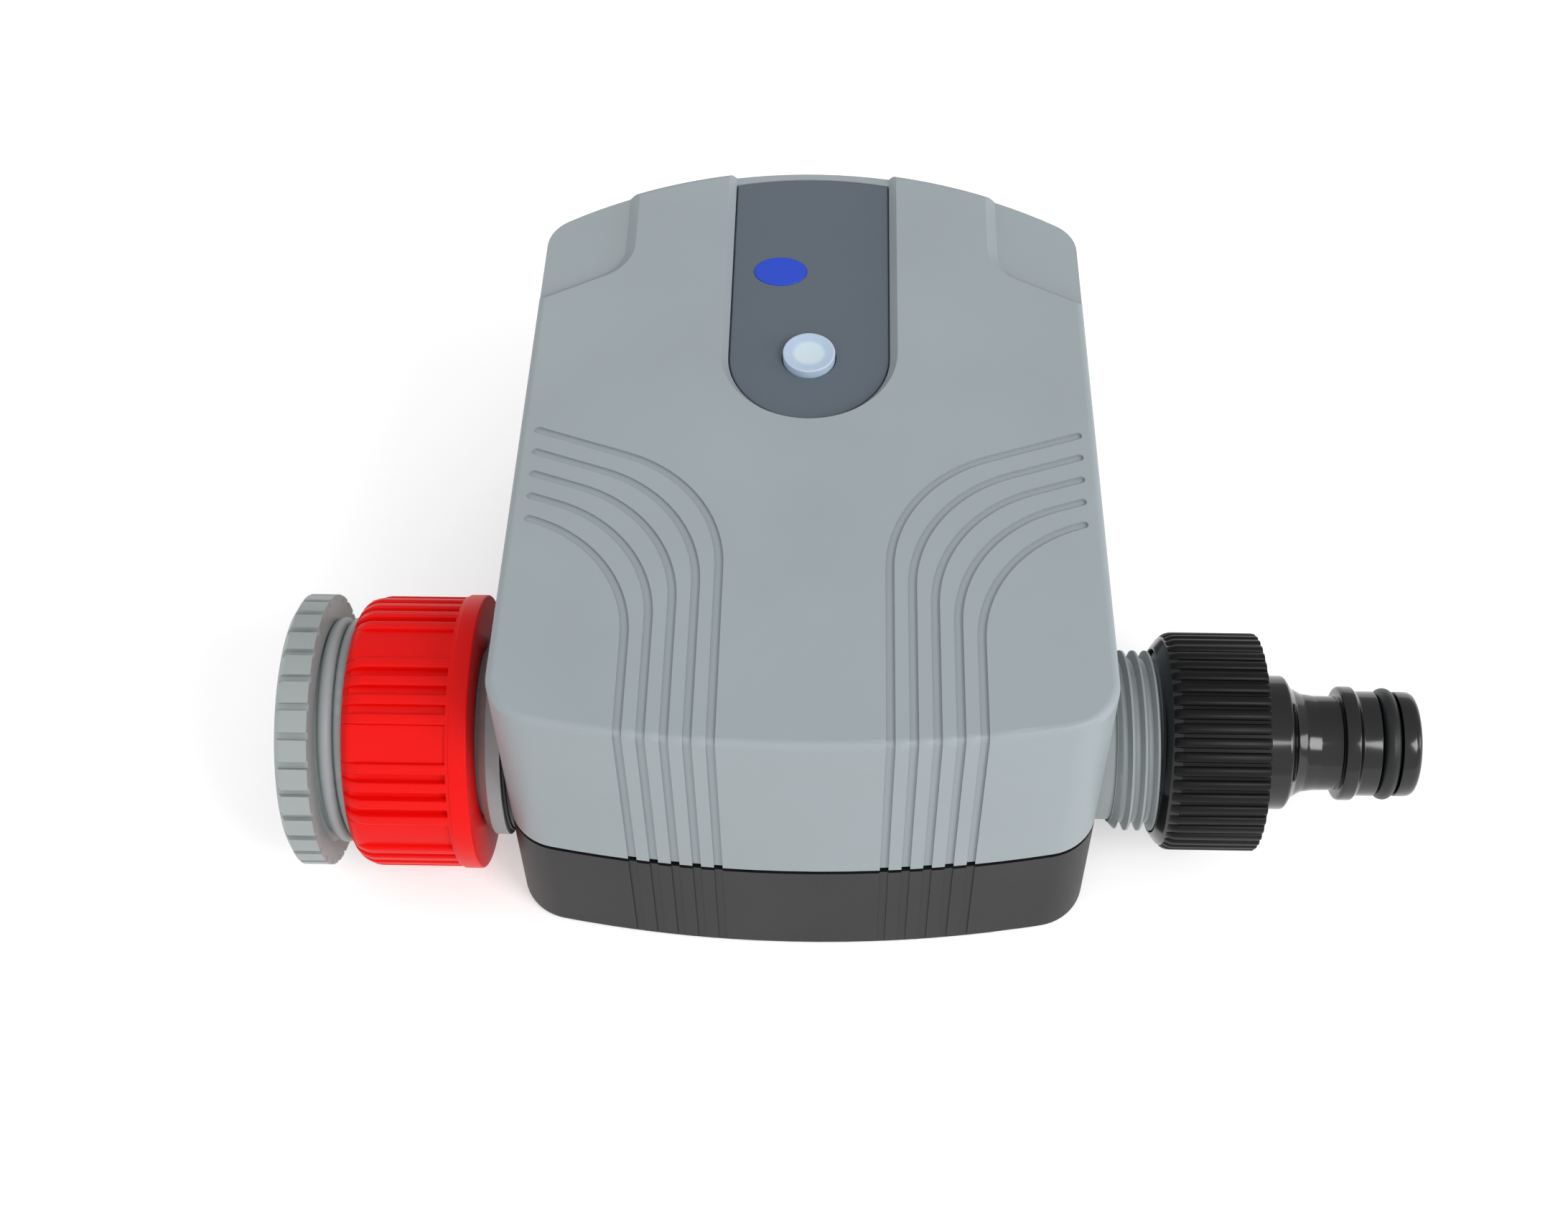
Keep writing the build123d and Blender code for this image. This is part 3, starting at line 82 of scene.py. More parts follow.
def stretch(tree, noise, low, high):
    """Stretch the middle of a noise so that it runs from low to high."""
    return put(tree, "ShaderNodeMapRange", {
        "Value": noise, "From Min": 0.3, "From Max": 0.7, "To Min": low, "To Max": high}).outputs[0]


# %% Turn and mix colours
# The colour sockets of a Mix node: two that go in and one that comes out
colour_a, colour_b, mixed = 6, 7, 2


def linear(code):
    """sRGB hex code to linear red, green, blue and alpha."""
    channels = [int(code[k:k + 2], 16) / 255 for k in (1, 3, 5)]
    return [c / 12.92 if c <= 0.04045 else ((c + 0.055) / 1.055) ** 2.4 for c in channels] + [1.0]


print("middle grey in linear light:", round(linear("#808080")[0], 3))

# %% [markdown]
# ## Finishes
# Most of the timer is injection-moulded plastic. A steel mould is spark-eroded to a fine
# texture, so each plastic has a grain a fraction of a millimetre wide that breaks the gloss,
# and a faint cloudiness where the melt flowed. `moulded` lays both over any plastic; what sets
# the plastics apart is their colour, gloss, and how deep light goes in.

# %% Start a material
def new_material(name, colour, roughness, **values):
    """A material with one shader; returns its tree and the shader too."""
    material = bpy.data.materials.new(name)
    material.use_nodes = True
    tree = material.node_tree
    shader = tree.nodes["Principled BSDF"]
    shader.inputs["Base Color"].default_value = linear(colour)
    shader.inputs["Roughness"].default_value = roughness
    for key, value in values.items():
        shader.inputs[key.replace("_", " ")].default_value = value
    material.diffuse_color = linear(colour)
    return material, tree, shader


# %% Moulded plastic
# A cloud is an inch wide, in millimetres here, and changes the roughness by this much
cloud_width, gloss_change = 26.0, 0.03


def moulded(name, colour, roughness, grain=0.22, depth=0.012, cloud=0.03, **values):
    """Injection-moulded plastic: fine spark texture and slight clouds; sizes in millimetres."""
    material, tree, shader = new_material(name, colour, roughness, **values)
    place = put(tree, "ShaderNodeTexCoord").outputs["Object"]
    clouds = put(tree, "ShaderNodeTexNoise", {
        "Vector": place, "Scale": 1 / (cloud_width * mm), "Detail": 3.0}).outputs[0]
    tint = stretch(tree, clouds, 1 - cloud, 1 + cloud)
    clouded = put(tree, "ShaderNodeMix", {0: 1.0, colour_a: linear(colour), colour_b: tint},
                  data_type="RGBA", blend_type="MULTIPLY", name="clouded colour")
    tree.links.new(clouded.outputs[mixed], shader.inputs["Base Color"])
    gloss = stretch(tree, clouds, roughness - gloss_change, roughness + gloss_change)
    tree.links.new(gloss, shader.inputs["Roughness"])
    fine = put(tree, "ShaderNodeTexNoise", {"Vector": place, "Scale": 1 / (grain * mm), "Detail": 2.0})
    bump = put(tree, "ShaderNodeBump", {
        "Height": fine.outputs[0], "Strength": 0.5, "Distance": depth * mm})
    tree.links.new(bump.outputs[0], shader.inputs["Normal"])
    return material


# %% [markdown]
# ## The plastics of the case and fittings
# Case and base are ABS, the nut, ring and hose tail polypropylene, which is a little glossier
# and lets some light under its skin. The panel is a printed polyester film, matt and even.
# Each shell has a second finish for its edges that stand out, glossier and paler: the paler
# colour is a painted highlight, so the rim of every groove and corner draws a pale line.

# %% Case, base and panel
cover_abs = moulded("light grey ABS, spark texture", "#99A2A6", 0.48, Specular_IOR_Level=0.4)
# The edge finishes are glossier, and paler in colour as a painted highlight along the edges
cover_painted_highlight = moulded("light grey ABS, painted edge highlight", "#B2B8B8", 0.3, depth=0.003, Specular_IOR_Level=0.6)
base_abs = moulded("charcoal ABS, spark texture", "#1F1F21", 0.5, cloud=0.02, Specular_IOR_Level=0.35)
base_painted_highlight = moulded("charcoal ABS, painted edge highlight", "#303032", 0.35, depth=0.003, Specular_IOR_Level=0.5)
panel_film = moulded("slate polyester film, matt print", "#5B656F", 0.5, grain=0.12, depth=0.005,
                     cloud=0.01, Specular_IOR_Level=0.35)
badge_enamel = moulded("blue enamel print under clear coat", "#1F45C6", 0.3, depth=0.002, cloud=0.02,
                       Specular_IOR_Level=0.3, Coat_Weight=0.25, Coat_Roughness=0.08)
print("finishes of the case:", len(bpy.data.materials))

# %% Nut, ring, pipe and hose tail
nut_plastic = moulded("red polypropylene", "#EA0D0B", 0.4, grain=0.3, depth=0.008, cloud=0.02,
                      Specular_IOR_Level=0.15)
fitting_plastic = moulded("grey polypropylene", "#9BA2A2", 0.42, grain=0.3, depth=0.01, cloud=0.03,
                          Specular_IOR_Level=0.4)
pipe_plastic = moulded("grey glass-filled nylon", "#979E9F", 0.42, grain=0.3, depth=0.01,
                       cloud=0.03, Specular_IOR_Level=0.4)
grip_plastic = moulded("black polypropylene, dull ribs", "#08080A", 0.42, grain=0.3, depth=0.012,
                       cloud=0.05, Specular_IOR_Level=0.2)
nose_plastic = moulded("black polypropylene, polished", "#08090A", 0.15, grain=0.5, depth=0.003,
                       cloud=0.04, Specular_IOR_Level=0.5)
print("with those of the fittings:", len(bpy.data.materials))

# %% [markdown]
# The button is silicone rubber: milky, so most of the light scatters inside it and comes out
# again pale blue. Subsurface scattering over a millimetre or so gives that look, and a soft
# dull surface keeps the highlight broad. The dish in its top gathers light like a lens; that
# light is painted in, as a paler tint in the middle than at the rim.

# %% Milky silicone, with painted light in the middle
button_silicone = moulded("milky silicone rubber", "#CBDAEB", 0.35, grain=0.4, depth=0.004, cloud=0.01,
                          Subsurface_Weight=0.8, Subsurface_Scale=1.2 * mm, Transmission_Weight=0.12)
button_at = (0.0, 46.6)
pale_radius, rim_radius = 1.9, 2.7
button_tree = button_silicone.node_tree
place = put(button_tree, "ShaderNodeTexCoord").outputs["Object"]
from_axis = put(button_tree, "ShaderNodeVectorMath", {
    0: place, 1: (button_at[0] * mm, button_at[1] * mm, 0.0)}, operation="SUBTRACT").outputs[0]
sideways = put(button_tree, "ShaderNodeVectorMath", {
    0: from_axis, 1: (1.0, 1.0, 0.0)}, operation="MULTIPLY").outputs[0]
outward = put(button_tree, "ShaderNodeVectorMath", {0: sideways}, operation="LENGTH").outputs["Value"]
to_rim = put(button_tree, "ShaderNodeMapRange", {
    "Value": outward, "From Min": pale_radius * mm, "From Max": rim_radius * mm},
    interpolation_type="SMOOTHSTEP").outputs[0]
# Painted light: the middle of the dish is tinted paler than the rim
painted_dish_light = put(button_tree, "ShaderNodeMix", {
    0: to_rim, colour_a: linear("#D9E7F1"), colour_b: linear("#BFD2E8")}, data_type="RGBA")
button_tree.links.new(painted_dish_light.outputs[mixed], button_tree.nodes["clouded colour"].inputs[colour_a])
print("nodes in the button's finish:", len(button_tree.nodes))

# %% Black rubber
rubber = moulded("black EPDM rubber", "#131517", 0.42, grain=0.25, depth=0.006, cloud=0.05,
                 Specular_IOR_Level=0.4)

# %% [markdown]
# ## Metals and inner parts
# The screws are zinc-plated steel, dull and slightly blotched where the crystals of zinc lie.
# The inside is hidden while the case is shut, yet each part still gets the finish that it has:
# nickel contacts, a chromed ball, brass pinion, acetal gears and a green circuit board.

# %% Metals
def plated(name, colour, roughness, blotch):
    """Metal with a plating whose gloss changes from spot to spot; blotch in millimetres."""
    material, tree, shader = new_material(name, colour, roughness, Metallic=1.0)
    place = put(tree, "ShaderNodeTexCoord").outputs["Object"]
    spots = put(tree, "ShaderNodeTexNoise", {"Vector": place, "Scale": 1 / (blotch * mm), "Detail": 4.0})
    gloss = stretch(tree, spots.outputs[0], roughness * 0.8, roughness * 1.25)
    tree.links.new(gloss, shader.inputs["Roughness"])
    return material


zinc_steel = plated("zinc-plated steel", "#B9BCC0", 0.32, 0.8)
nickel = plated("nickel-plated steel", "#C9C4B8", 0.25, 1.5)
chrome = plated("polished chrome", "#D5D7DA", 0.08, 3.0)
brass = plated("turned brass", "#C9A55C", 0.28, 1.0)
can_steel = plated("drawn steel can", "#A9ABAE", 0.35, 2.5)

# %% Inner plastics
acetal = moulded("ivory acetal", "#E6E3D6", 0.3)
ptfe = moulded("white PTFE", "#EDEDEA", 0.45)
gearbox_plastic = moulded("black glass-filled nylon", "#1D1D1F", 0.5)
solder_mask = moulded("green solder mask", "#1B5A38", 0.3, grain=0.6, depth=0.004)
socket_nylon = moulded("ivory nylon", "#E2DBC4", 0.4)
sleeve_pvc = moulded("navy PVC sleeve", "#1B2346", 0.25)
lead_red = moulded("red PVC", "#B3201C", 0.35)
lead_black = moulded("black PVC", "#121212", 0.35)
cell_film = moulded("dark green shrink film", "#2B4A3E", 0.25)
print("all finishes:", len(bpy.data.materials))

# %% Give the inner nodes their finishes
finishes = {
    "gear_pins motor_shaft board_screws lid_screws gearbox_screws snap_ring": zinc_steel,
    "battery_contacts battery_springs radio_module": nickel,
    "valve_ball": chrome, "valve_stem motor_pinion": brass, "motor": can_steel,
    "output_gear second_gear first_gear": acetal, "ball_seats seat_retainer": ptfe,
    "gearbox_housing gearbox_lid tact_switch switch_plunger": gearbox_plastic,
    "circuit_board": solder_mask, "lead_sockets status_led": socket_nylon, "capacitor": sleeve_pvc,
    "motor_leads": lead_red, "battery_leads": lead_black, "batteries": cell_film,
    "case_gasket door_seal outlet_grommet stem_o_rings inlet_washer filter_washer outlet_washer": rubber,
}
for names, finish in finishes.items():
    for name in names.split():
        nodes[name].data.materials.clear()
        nodes[name].data.materials.append(finish)
print("finished inner nodes:", sum(len(names.split()) for names in finishes))

# %% [markdown]
# ## Edges as a mould leaves them
# A CAD solid has knife edges, and no moulded part does: each edge is rounded by a tenth of a
# millimetre or more, and that round is what catches the light. The shells, the pipe and the
# ring keep the CAD shape. A copy of each is merged, its flat faces made whole again, and a
# Bevel modifier rounds every edge sharper than a limit. On the shells the bevel's own faces take
# the edge finish, a painted highlight, and those in a corner are given the plain finish back.

# %% Make a piece, keep its mesh
def keep_mesh(piece):
    """Apply every modifier of a piece, so that its mesh is final."""
    graph = bpy.context.evaluated_depsgraph_get()
    mesh = bpy.data.meshes.new_from_object(piece.evaluated_get(graph), depsgraph=graph)
    piece.modifiers.clear()
    piece.data = mesh
    return piece


def new_piece(name, mesh):
    """An object with its origin at the model's origin."""
    piece = bpy.data.objects.new(name, mesh)
    bpy.context.scene.collection.objects.link(piece)
    return piece


# %% Clean a mesh, find its outer edges
# Points this near are one point, in millimetres; faces this flat are one face, in degrees
same_point, same_face = 0.002, 0.4


def clean(mesh):
    """Merge the points of a mesh and make its flat faces whole."""
    shape = bmesh.new()
    shape.from_mesh(mesh)
    bmesh.ops.remove_doubles(shape, verts=shape.verts, dist=same_point * mm)
    bmesh.ops.dissolve_limit(shape, angle_limit=radians(same_face), verts=shape.verts,
                             edges=shape.edges, delimit={"NORMAL"})
    shape.to_mesh(mesh)
    shape.free()


def keep_highlight_on_outer_edges(piece):
    """Keep the painted edge highlight on the edges that stand out, not on those in a corner."""
    shape = bmesh.new()
    shape.from_mesh(piece.data)
    for face in shape.faces:
        if sum(edge.calc_face_angle_signed(0.0) for edge in face.edges) <= 0.0:
            face.material_index = 0
    shape.to_mesh(piece.data)
    shape.free()


# %% Round the edges of a copy
def softened(name, node, finish, radius=0.15, angle=28.0, painted_edge_highlight=None):
    """A copy of a CAD node with rounded edges; the radius is in millimetres."""
    piece = new_piece(name, nodes[node].data.copy())
    clean(piece.data)
    piece.data.materials.clear()
    piece.data.materials.append(finish)
    bevel = piece.modifiers.new("mould radius", "BEVEL")
    bevel.width = radius * mm
    bevel.segments = 3
    bevel.limit_method = "ANGLE"
    bevel.angle_limit = radians(angle)
    # The bevel's own faces get the edge finish, a painted highlight
    if painted_edge_highlight:
        piece.data.materials.append(painted_edge_highlight)
        bevel.material = 1
    keep_mesh(piece)
    if painted_edge_highlight:
        keep_highlight_on_outer_edges(piece)
    piece.data.shade_smooth()
    piece.data.set_sharp_from_angle(angle=radians(50))
    weigh = piece.modifiers.new("flat stays flat", "WEIGHTED_NORMAL")
    weigh.keep_sharp = True
    keep_mesh(piece)
    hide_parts(node)
    print(name, "faces:", len(piece.data.polygons))
    return piece


# %% The shells, the door and the panel
case_cover = softened("case_cover", "top_cover", cover_abs, 0.2, painted_edge_highlight=cover_painted_highlight)
case_base = softened("case_base", "base_shell", base_abs, 0.2, painted_edge_highlight=base_painted_highlight)
battery_hatch = softened("battery_hatch", "battery_door", base_abs, 0.2)
control_panel = softened("control_panel", "display_panel", panel_film, 0.08)
shells = ((case_cover, "cover_grey"), (case_base, "base_dark"), (control_panel, "panel_slate"))
for piece, slot in shells:
    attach(piece, "case")
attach(battery_hatch, "battery_door")

# %% Painted shade on the ledge under the parting groove
# Painted shade: the seam lies in deep shade all round, so the faces between these heights take the black
# rubber finish
ledge_low, ledge_high = 21.35, 22.25
case_base.data.materials.append(rubber)
for face in case_base.data.polygons:
    if ledge_low * mm < face.center.z < ledge_high * mm:
        face.material_index = 2
print("dark faces:", sum(face.material_index == 2 for face in case_base.data.polygons))

# %% The pipe and the reducer ring
water_pipe = softened("water_pipe", "valve_body", pipe_plastic, 0.15)
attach(water_pipe, "case")
tap_ring = softened("tap_ring", "reducer_ring", fitting_plastic, 0.2)
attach(tap_ring, "reducer_ring")

# %% [markdown]
# ## Threads
# The outlet's thread is the CAD ridge of the pipe, with soft edges. The ring's is rounder: it
# looks like a cord wound on the ring, with a narrow dark valley between two turns. A cord
# follows a rule, so Geometry Nodes make it. A line is bent into a helix by its own length, a
# circle runs along it, and both ends shrink. The ring's cord lies over the CAD ridge with the
# same pitch and phase. Thin cords inside the nut and the hose tail, half a pitch away from the
# ridges that run between them, are the inside threads.

# %% A tree with named inputs
def new_tree(name, sockets):
    """An empty geometry tree with a geometry input and output, and named inputs."""
    tree = bpy.data.node_groups.new(name, "GeometryNodeTree")
    tree.interface.new_socket("Geometry", in_out="INPUT", socket_type="NodeSocketGeometry")
    tree.interface.new_socket("Geometry", in_out="OUTPUT", socket_type="NodeSocketGeometry")
    for label, kind in sockets:
        tree.interface.new_socket(label, in_out="INPUT", socket_type="NodeSocket" + kind)
    return tree, tree.nodes.new("NodeGroupInput").outputs


def run_tree(piece, tree, values):
    """Run a tree once on a piece, with values for its named inputs, and keep what it makes."""
    modifier = piece.modifiers.new(tree.name, "NODES")
    modifier.node_group = tree
    for socket in tree.interface.items_tree:
        if socket.in_out == "INPUT" and socket.name in values:
            modifier[socket.identifier] = values[socket.name]
    keep_mesh(piece)
    print(piece.name, "faces:", len(piece.data.polygons))
    return piece


# %% The helix tree
def helix_tree():
    """A cord that winds round the pipe's axis and sinks into it at both ends."""
    tree, given = new_tree("thread ridge", [
        ("Start", "Float"), ("Length", "Float"), ("Pitch", "Float"), ("Phase", "Float"),
        ("Radius", "Float"), ("Cord", "Float"), ("Run out", "Float"), ("Height", "Float"),
        ("Steps", "Int"), ("Material", "Material")])
    line = put(tree, "GeometryNodeCurvePrimitiveLine")
    fine = put(tree, "GeometryNodeResampleCurve", {"Curve": line.outputs[0], "Count": given["Steps"]})
    along = put(tree, "GeometryNodeSplineParameter").outputs["Factor"]
    way = reckon(tree, "MULTIPLY", along, given["Length"])
    turns = reckon(tree, "DIVIDE", way, given["Pitch"])
    angle = reckon(tree, "MULTIPLY_ADD", turns, tau, given["Phase"])
    x = reckon(tree, "ADD", way, given["Start"])
    y = reckon(tree, "MULTIPLY", reckon(tree, "SINE", angle), given["Radius"])
    drop = reckon(tree, "MULTIPLY", reckon(tree, "COSINE", angle), given["Radius"])
    z = reckon(tree, "SUBTRACT", given["Height"], drop)
    point = put(tree, "ShaderNodeCombineXYZ", {0: x, 1: y, 2: z}).outputs[0]
    wound = put(tree, "GeometryNodeSetPosition", {"Geometry": fine.outputs[0], "Position": point})
    near = reckon(tree, "MINIMUM", way, reckon(tree, "SUBTRACT", given["Length"], way))
    fade = put(tree, "ShaderNodeMapRange", {
        "Value": near, "From Max": given["Run out"], "To Min": 0.05}, interpolation_type="SMOOTHSTEP")
    cord_radius = reckon(tree, "MULTIPLY", fade.outputs[0], given["Cord"])
    ring = put(tree, "GeometryNodeCurvePrimitiveCircle", {"Resolution": 20, "Radius": 1.0})
    cord = put(tree, "GeometryNodeCurveToMesh", {
        "Curve": wound.outputs[0], "Profile Curve": ring.outputs[0], "Scale": cord_radius,
        "Fill Caps": True})
    smooth = put(tree, "GeometryNodeSetShadeSmooth", {0: cord.outputs[0]})
    real = put(tree, "GeometryNodeRealizeInstances", {0: smooth.outputs[0]})
    done = put(tree, "GeometryNodeSetMaterial", {
        "Geometry": real.outputs[0], "Material": given["Material"]})
    put(tree, "NodeGroupOutput", {0: done.outputs[0]})
    return tree


# %% Wind the ring's thread
thread_ridge = helix_tree()
points_per_turn = 72
# Directions round the pipe are in degrees from straight down; this one is the upper rear side
upper_rear = 125.9
# Where a crest of each thread passes the upper rear side, and its pitch
tap_crest, tap_pitch = -66.0, 2.309
outlet_crest, outlet_pitch = 46.45, 1.814


def thread(name, finish, start, end, pitch, crest, radius, cord, run_out):
    """A thread ridge between two stations along the pipe; sizes in millimetres."""
    return run_tree(new_piece(name, bpy.data.meshes.new(name)), thread_ridge, {
        "Start": start * mm, "Length": (end - start) * mm, "Pitch": pitch * mm,
        "Phase": radians(upper_rear) + (start - crest) / pitch * tau, "Radius": radius * mm,
        "Cord": cord * mm, "Run out": run_out * mm, "Height": axis_height * mm,
        "Steps": int((end - start) / pitch * points_per_turn), "Material": finish})


ring_thread = thread("ring_thread", fitting_plastic, start=-69.6, end=-60.3, pitch=tap_pitch,
                     crest=tap_crest, radius=15.6, cord=1.05, run_out=1.4)
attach(ring_thread, "reducer_ring")

# %% [markdown]
# ## Round parts
# The nut, the hose tail, the O-ring and the button are bodies of revolution, as a lathe would
# cut them. An outline of points is turned round an axis, and a corner given a radius becomes
# a small arc first. The fingers' ribs come later, as copies of one rib.

# %% Round the corners of an outline
def rounded(outline, steps=5):
    """Replace each (along, out, corner) point of a closed outline by an arc."""
    line = []
    count = len(outline)
    for k, point in enumerate(outline):
        corner = point[2] if len(point) > 2 else 0.0
        here = Vector(point[:2])
        if corner == 0.0:
            line.append(here)
            continue
        before = Vector(outline[k - 1][:2]) - here
        after = Vector(outline[(k + 1) % count][:2]) - here
        reach = corner / tan(before.angle(after) / 2)
        first = here + before.normalized() * min(reach, before.length * 0.45)
        last = here + after.normalized() * min(reach, after.length * 0.45)
        for step in range(steps):
            way = step / (steps - 1)
            line.append((1 - way) ** 2 * first + 2 * way * (1 - way) * here + way ** 2 * last)
    return line


# %% Turn an outline
def on_pipe(along, out, angle):
    """A point beside the pipe's axis, from millimetres; angle zero is straight down."""
    return Vector((along, out * sin(angle), axis_height - out * cos(angle))) * mm


def as_piece(name, shape, finish, smooth):
    """Turn a bmesh into a piece with smooth faces and sharp creases."""
    mesh = bpy.data.meshes.new(name)
    shape.to_mesh(mesh)
    shape.free()
    mesh.materials.append(finish)
    mesh.shade_smooth()
    mesh.set_sharp_from_angle(angle=radians(smooth))
    print(name, "faces:", len(mesh.polygons))
    return new_piece(name, mesh)


def turned(name, outline, finish, spot=on_pipe, steps=160, smooth=40.0):
    """Turn a closed outline of (along, out) points into a piece."""
    shape = bmesh.new()
    rings = []
    for along, out in rounded(outline):
        if out < 1e-6:
            rings.append([shape.verts.new(spot(along, 0.0, 0.0))] * steps)
        else:
            rings.append([shape.verts.new(spot(along, out, tau * k / steps)) for k in range(steps)])
    for ring, following in zip(rings, rings[1:] + rings[:1]):
        for k in range(steps):
            corners = (ring[k], ring[(k + 1) % steps], following[(k + 1) % steps], following[k])
            face = list(dict.fromkeys(corners))
            if len(face) > 2:
                shape.faces.new(face)
    bmesh.ops.recalc_face_normals(shape, faces=shape.faces)
    return as_piece(name, shape, finish, smooth)


# %% [markdown]
# ## Finger ribs
# One rib is a bar with straight sides and a rounded top that follows the round of the grip.
# Its top may rise and fall along the way, which rounds its ends. A Geometry Nodes tree copies
# it round the pipe and joins the copies to the turned core.

# %% One rib
def bar(name, stations, half_angle, foot, corner, finish, across=6):
    """A bar along the pipe. Stations are (x, top radius), angles in degrees, sizes in millimetres."""
    shape = bmesh.new()
    rows = []
    for x, top in stations:
        soft = min(corner, (top - foot) * 0.8)
        turn = soft / top
        half = radians(half_angle)
        section = [(foot, -half), (top - soft, -half)]
        section += [(top - soft * (1 - sin(a)), -half + turn * (1 - cos(a))) for a in (pi / 6, pi / 3)]
        inner = half - turn
        section += [(top, -inner + 2 * inner * k / across) for k in range(across + 1)]
        section += [(out, -angle) for out, angle in reversed(section[:4])]
        rows.append([shape.verts.new(on_pipe(x, out, angle)) for out, angle in section])
    for row, following in zip(rows, rows[1:]):
        for k in range(len(row)):
            j = (k + 1) % len(row)
            shape.faces.new((row[k], row[j], following[j], following[k]))
    shape.faces.new(rows[0])
    shape.faces.new(rows[-1])
    bmesh.ops.recalc_face_normals(shape, faces=shape.faces)
    return as_piece(name, shape, finish, 40.0)


# %% The tree that sets copies round the pipe
def ring_tree():
    """Copies of a part round the pipe's axis, joined to the piece's own mesh."""
    tree, given = new_tree("copies round the pipe", [
        ("Part", "Object"), ("Count", "Int"), ("First angle", "Float"), ("Height", "Float")])
    part = put(tree, "GeometryNodeObjectInfo", {"Object": given["Part"]}, transform_space="ORIGINAL")
    up = put(tree, "ShaderNodeCombineXYZ", {"Z": given["Height"]}).outputs[0]
    down = put(tree, "ShaderNodeVectorMath", {0: up, 3: -1.0}, operation="SCALE").outputs[0]
    centred = put(tree, "GeometryNodeTransform", {
        "Geometry": part.outputs["Geometry"], "Translation": down})
    points = put(tree, "GeometryNodePoints", {"Count": given["Count"], "Position": up})
    number = put(tree, "GeometryNodeInputIndex").outputs[0]
    share = reckon(tree, "DIVIDE", number, given["Count"])
    angle = reckon(tree, "MULTIPLY_ADD", share, tau, given["First angle"])
    turn = put(tree, "ShaderNodeCombineXYZ", {"X": angle}).outputs[0]
    copies = put(tree, "GeometryNodeInstanceOnPoints", {
        "Points": points.outputs[0], "Instance": centred.outputs[0], "Rotation": turn})
    real = put(tree, "GeometryNodeRealizeInstances", {0: copies.outputs[0]})
    joined = put(tree, "GeometryNodeJoinGeometry", {0: given["Geometry"]})
    tree.links.new(real.outputs[0], joined.inputs[0])
    put(tree, "NodeGroupOutput", {0: joined.outputs[0]})
    return tree


copies_round_pipe = ring_tree()


def set_round(piece, part, count, first_angle):
    """Join copies of a part to a piece; the part itself is taken away afterwards."""
    run_tree(piece, copies_round_pipe, {
        "Part": part, "Count": count, "First angle": radians(first_angle), "Height": axis_height * mm})
    bpy.data.objects.remove(part)


# %% [markdown]
# ## The red nut
# Around the nut, four slim ribs and one wide flat repeat eight times. The ribs bend down over
# the nose and stop at a low flange towards the case. Inside, a thin rounded ridge is the
# thread that the ring's thread runs in, half a pitch away from it.

# %% Nut core, ribs and flats
swivel_nut = turned("swivel_nut", [
    (-65.1, 17.3, 0.4), (-63.9, 18.55, 0.5), (-63.0, 18.7), (-50.1, 18.7, 0.1), (-49.95, 19.97, 0.15),
    (-49.45, 19.97, 0.08), (-49.4, 20.2, 0.15), (-46.8, 20.2, 0.35), (-46.8, 12.75, 0.2),
    (-55.6, 12.75, 0.2), (-55.6, 16.8), (-65.1, 16.8, 0.2)], nut_plastic)
nut_rib_line = [(-64.9, 17.9), (-64.6, 18.45), (-64.2, 18.9), (-63.7, 19.3), (-63.1, 19.62),
                (-62.5, 19.85), (-61.8, 19.97), (-56.0, 19.97), (-49.8, 19.97)]
flat_radius = 19.35
nut_flat_line = [(x, min(top, flat_radius)) for x, top in nut_rib_line]
# Eight flats with four ribs after each; half widths and the ribs' spacing in degrees
flats, flat_half, rib_half, rib_step = 8, 8.1, 2.25, 8.1
first_flat = upper_rear + 2.8
nut_flat = bar("nut_flat", nut_flat_line, flat_half, 18.0, 0.12, nut_plastic, across=10)
set_round(swivel_nut, nut_flat, flats, first_flat)
for k in range(4):
    rib_angle = first_flat + flat_half + rib_half + k * rib_step
    set_round(swivel_nut, bar("nut_rib", nut_rib_line, rib_half, 17.5, 0.3, nut_plastic), flats, rib_angle)

# %% Nut thread
nut_thread = thread("nut_thread", nut_plastic, start=-65.0, end=-57.2, pitch=tap_pitch,
                    crest=tap_crest + tap_pitch / 2, radius=16.5, cord=0.4, run_out=0.8)
for piece in (swivel_nut, nut_thread):
    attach(piece, "inlet_nut")
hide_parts("inlet_nut")

# %% [markdown]
# ## The hose tail
# A gloss cone leads to a dull grip with forty-eight ribs, then a polished neck, throat and
# nose. The turned core has two finishes: faces on the cone, neck and nose take the polished
# one.

# %% Hose tail
hose_tail = turned("hose_tail", [
    (51.0, 13.5, 0.1), (51.0, 13.75, 0.12), (51.3, 14.2, 0.3), (52.1, 15.3, 0.8), (53.6, 15.55, 0.8),
    (66.0, 15.5, 0.1), (66.0, 9.83, 0.15), (70.15, 9.83, 0.7), (71.2, 8.2, 1.4), (72.8, 7.25, 1.4),
    (74.8, 6.95, 0.8), (78.0, 6.9, 0.25), (78.0, 8.37, 0.6), (80.1, 8.37, 0.3), (80.75, 7.7, 0.15),
    (83.5, 7.7, 0.25), (83.5, 5.65, 0.2), (86.4, 5.65, 0.2), (86.4, 7.7, 0.25), (89.3, 7.7, 1.8),
    (89.3, 4.5, 0.5), (58.8, 4.5, 0.2), (58.8, 12.25), (57.2, 12.25), (57.2, 13.5)], grip_plastic)
grip_start, grip_end = 53.0, 66.1
hose_tail.data.materials.append(nose_plastic)
for face in hose_tail.data.polygons:
    if face.center.x < grip_start * mm or face.center.x > grip_end * mm:
        face.material_index = 1

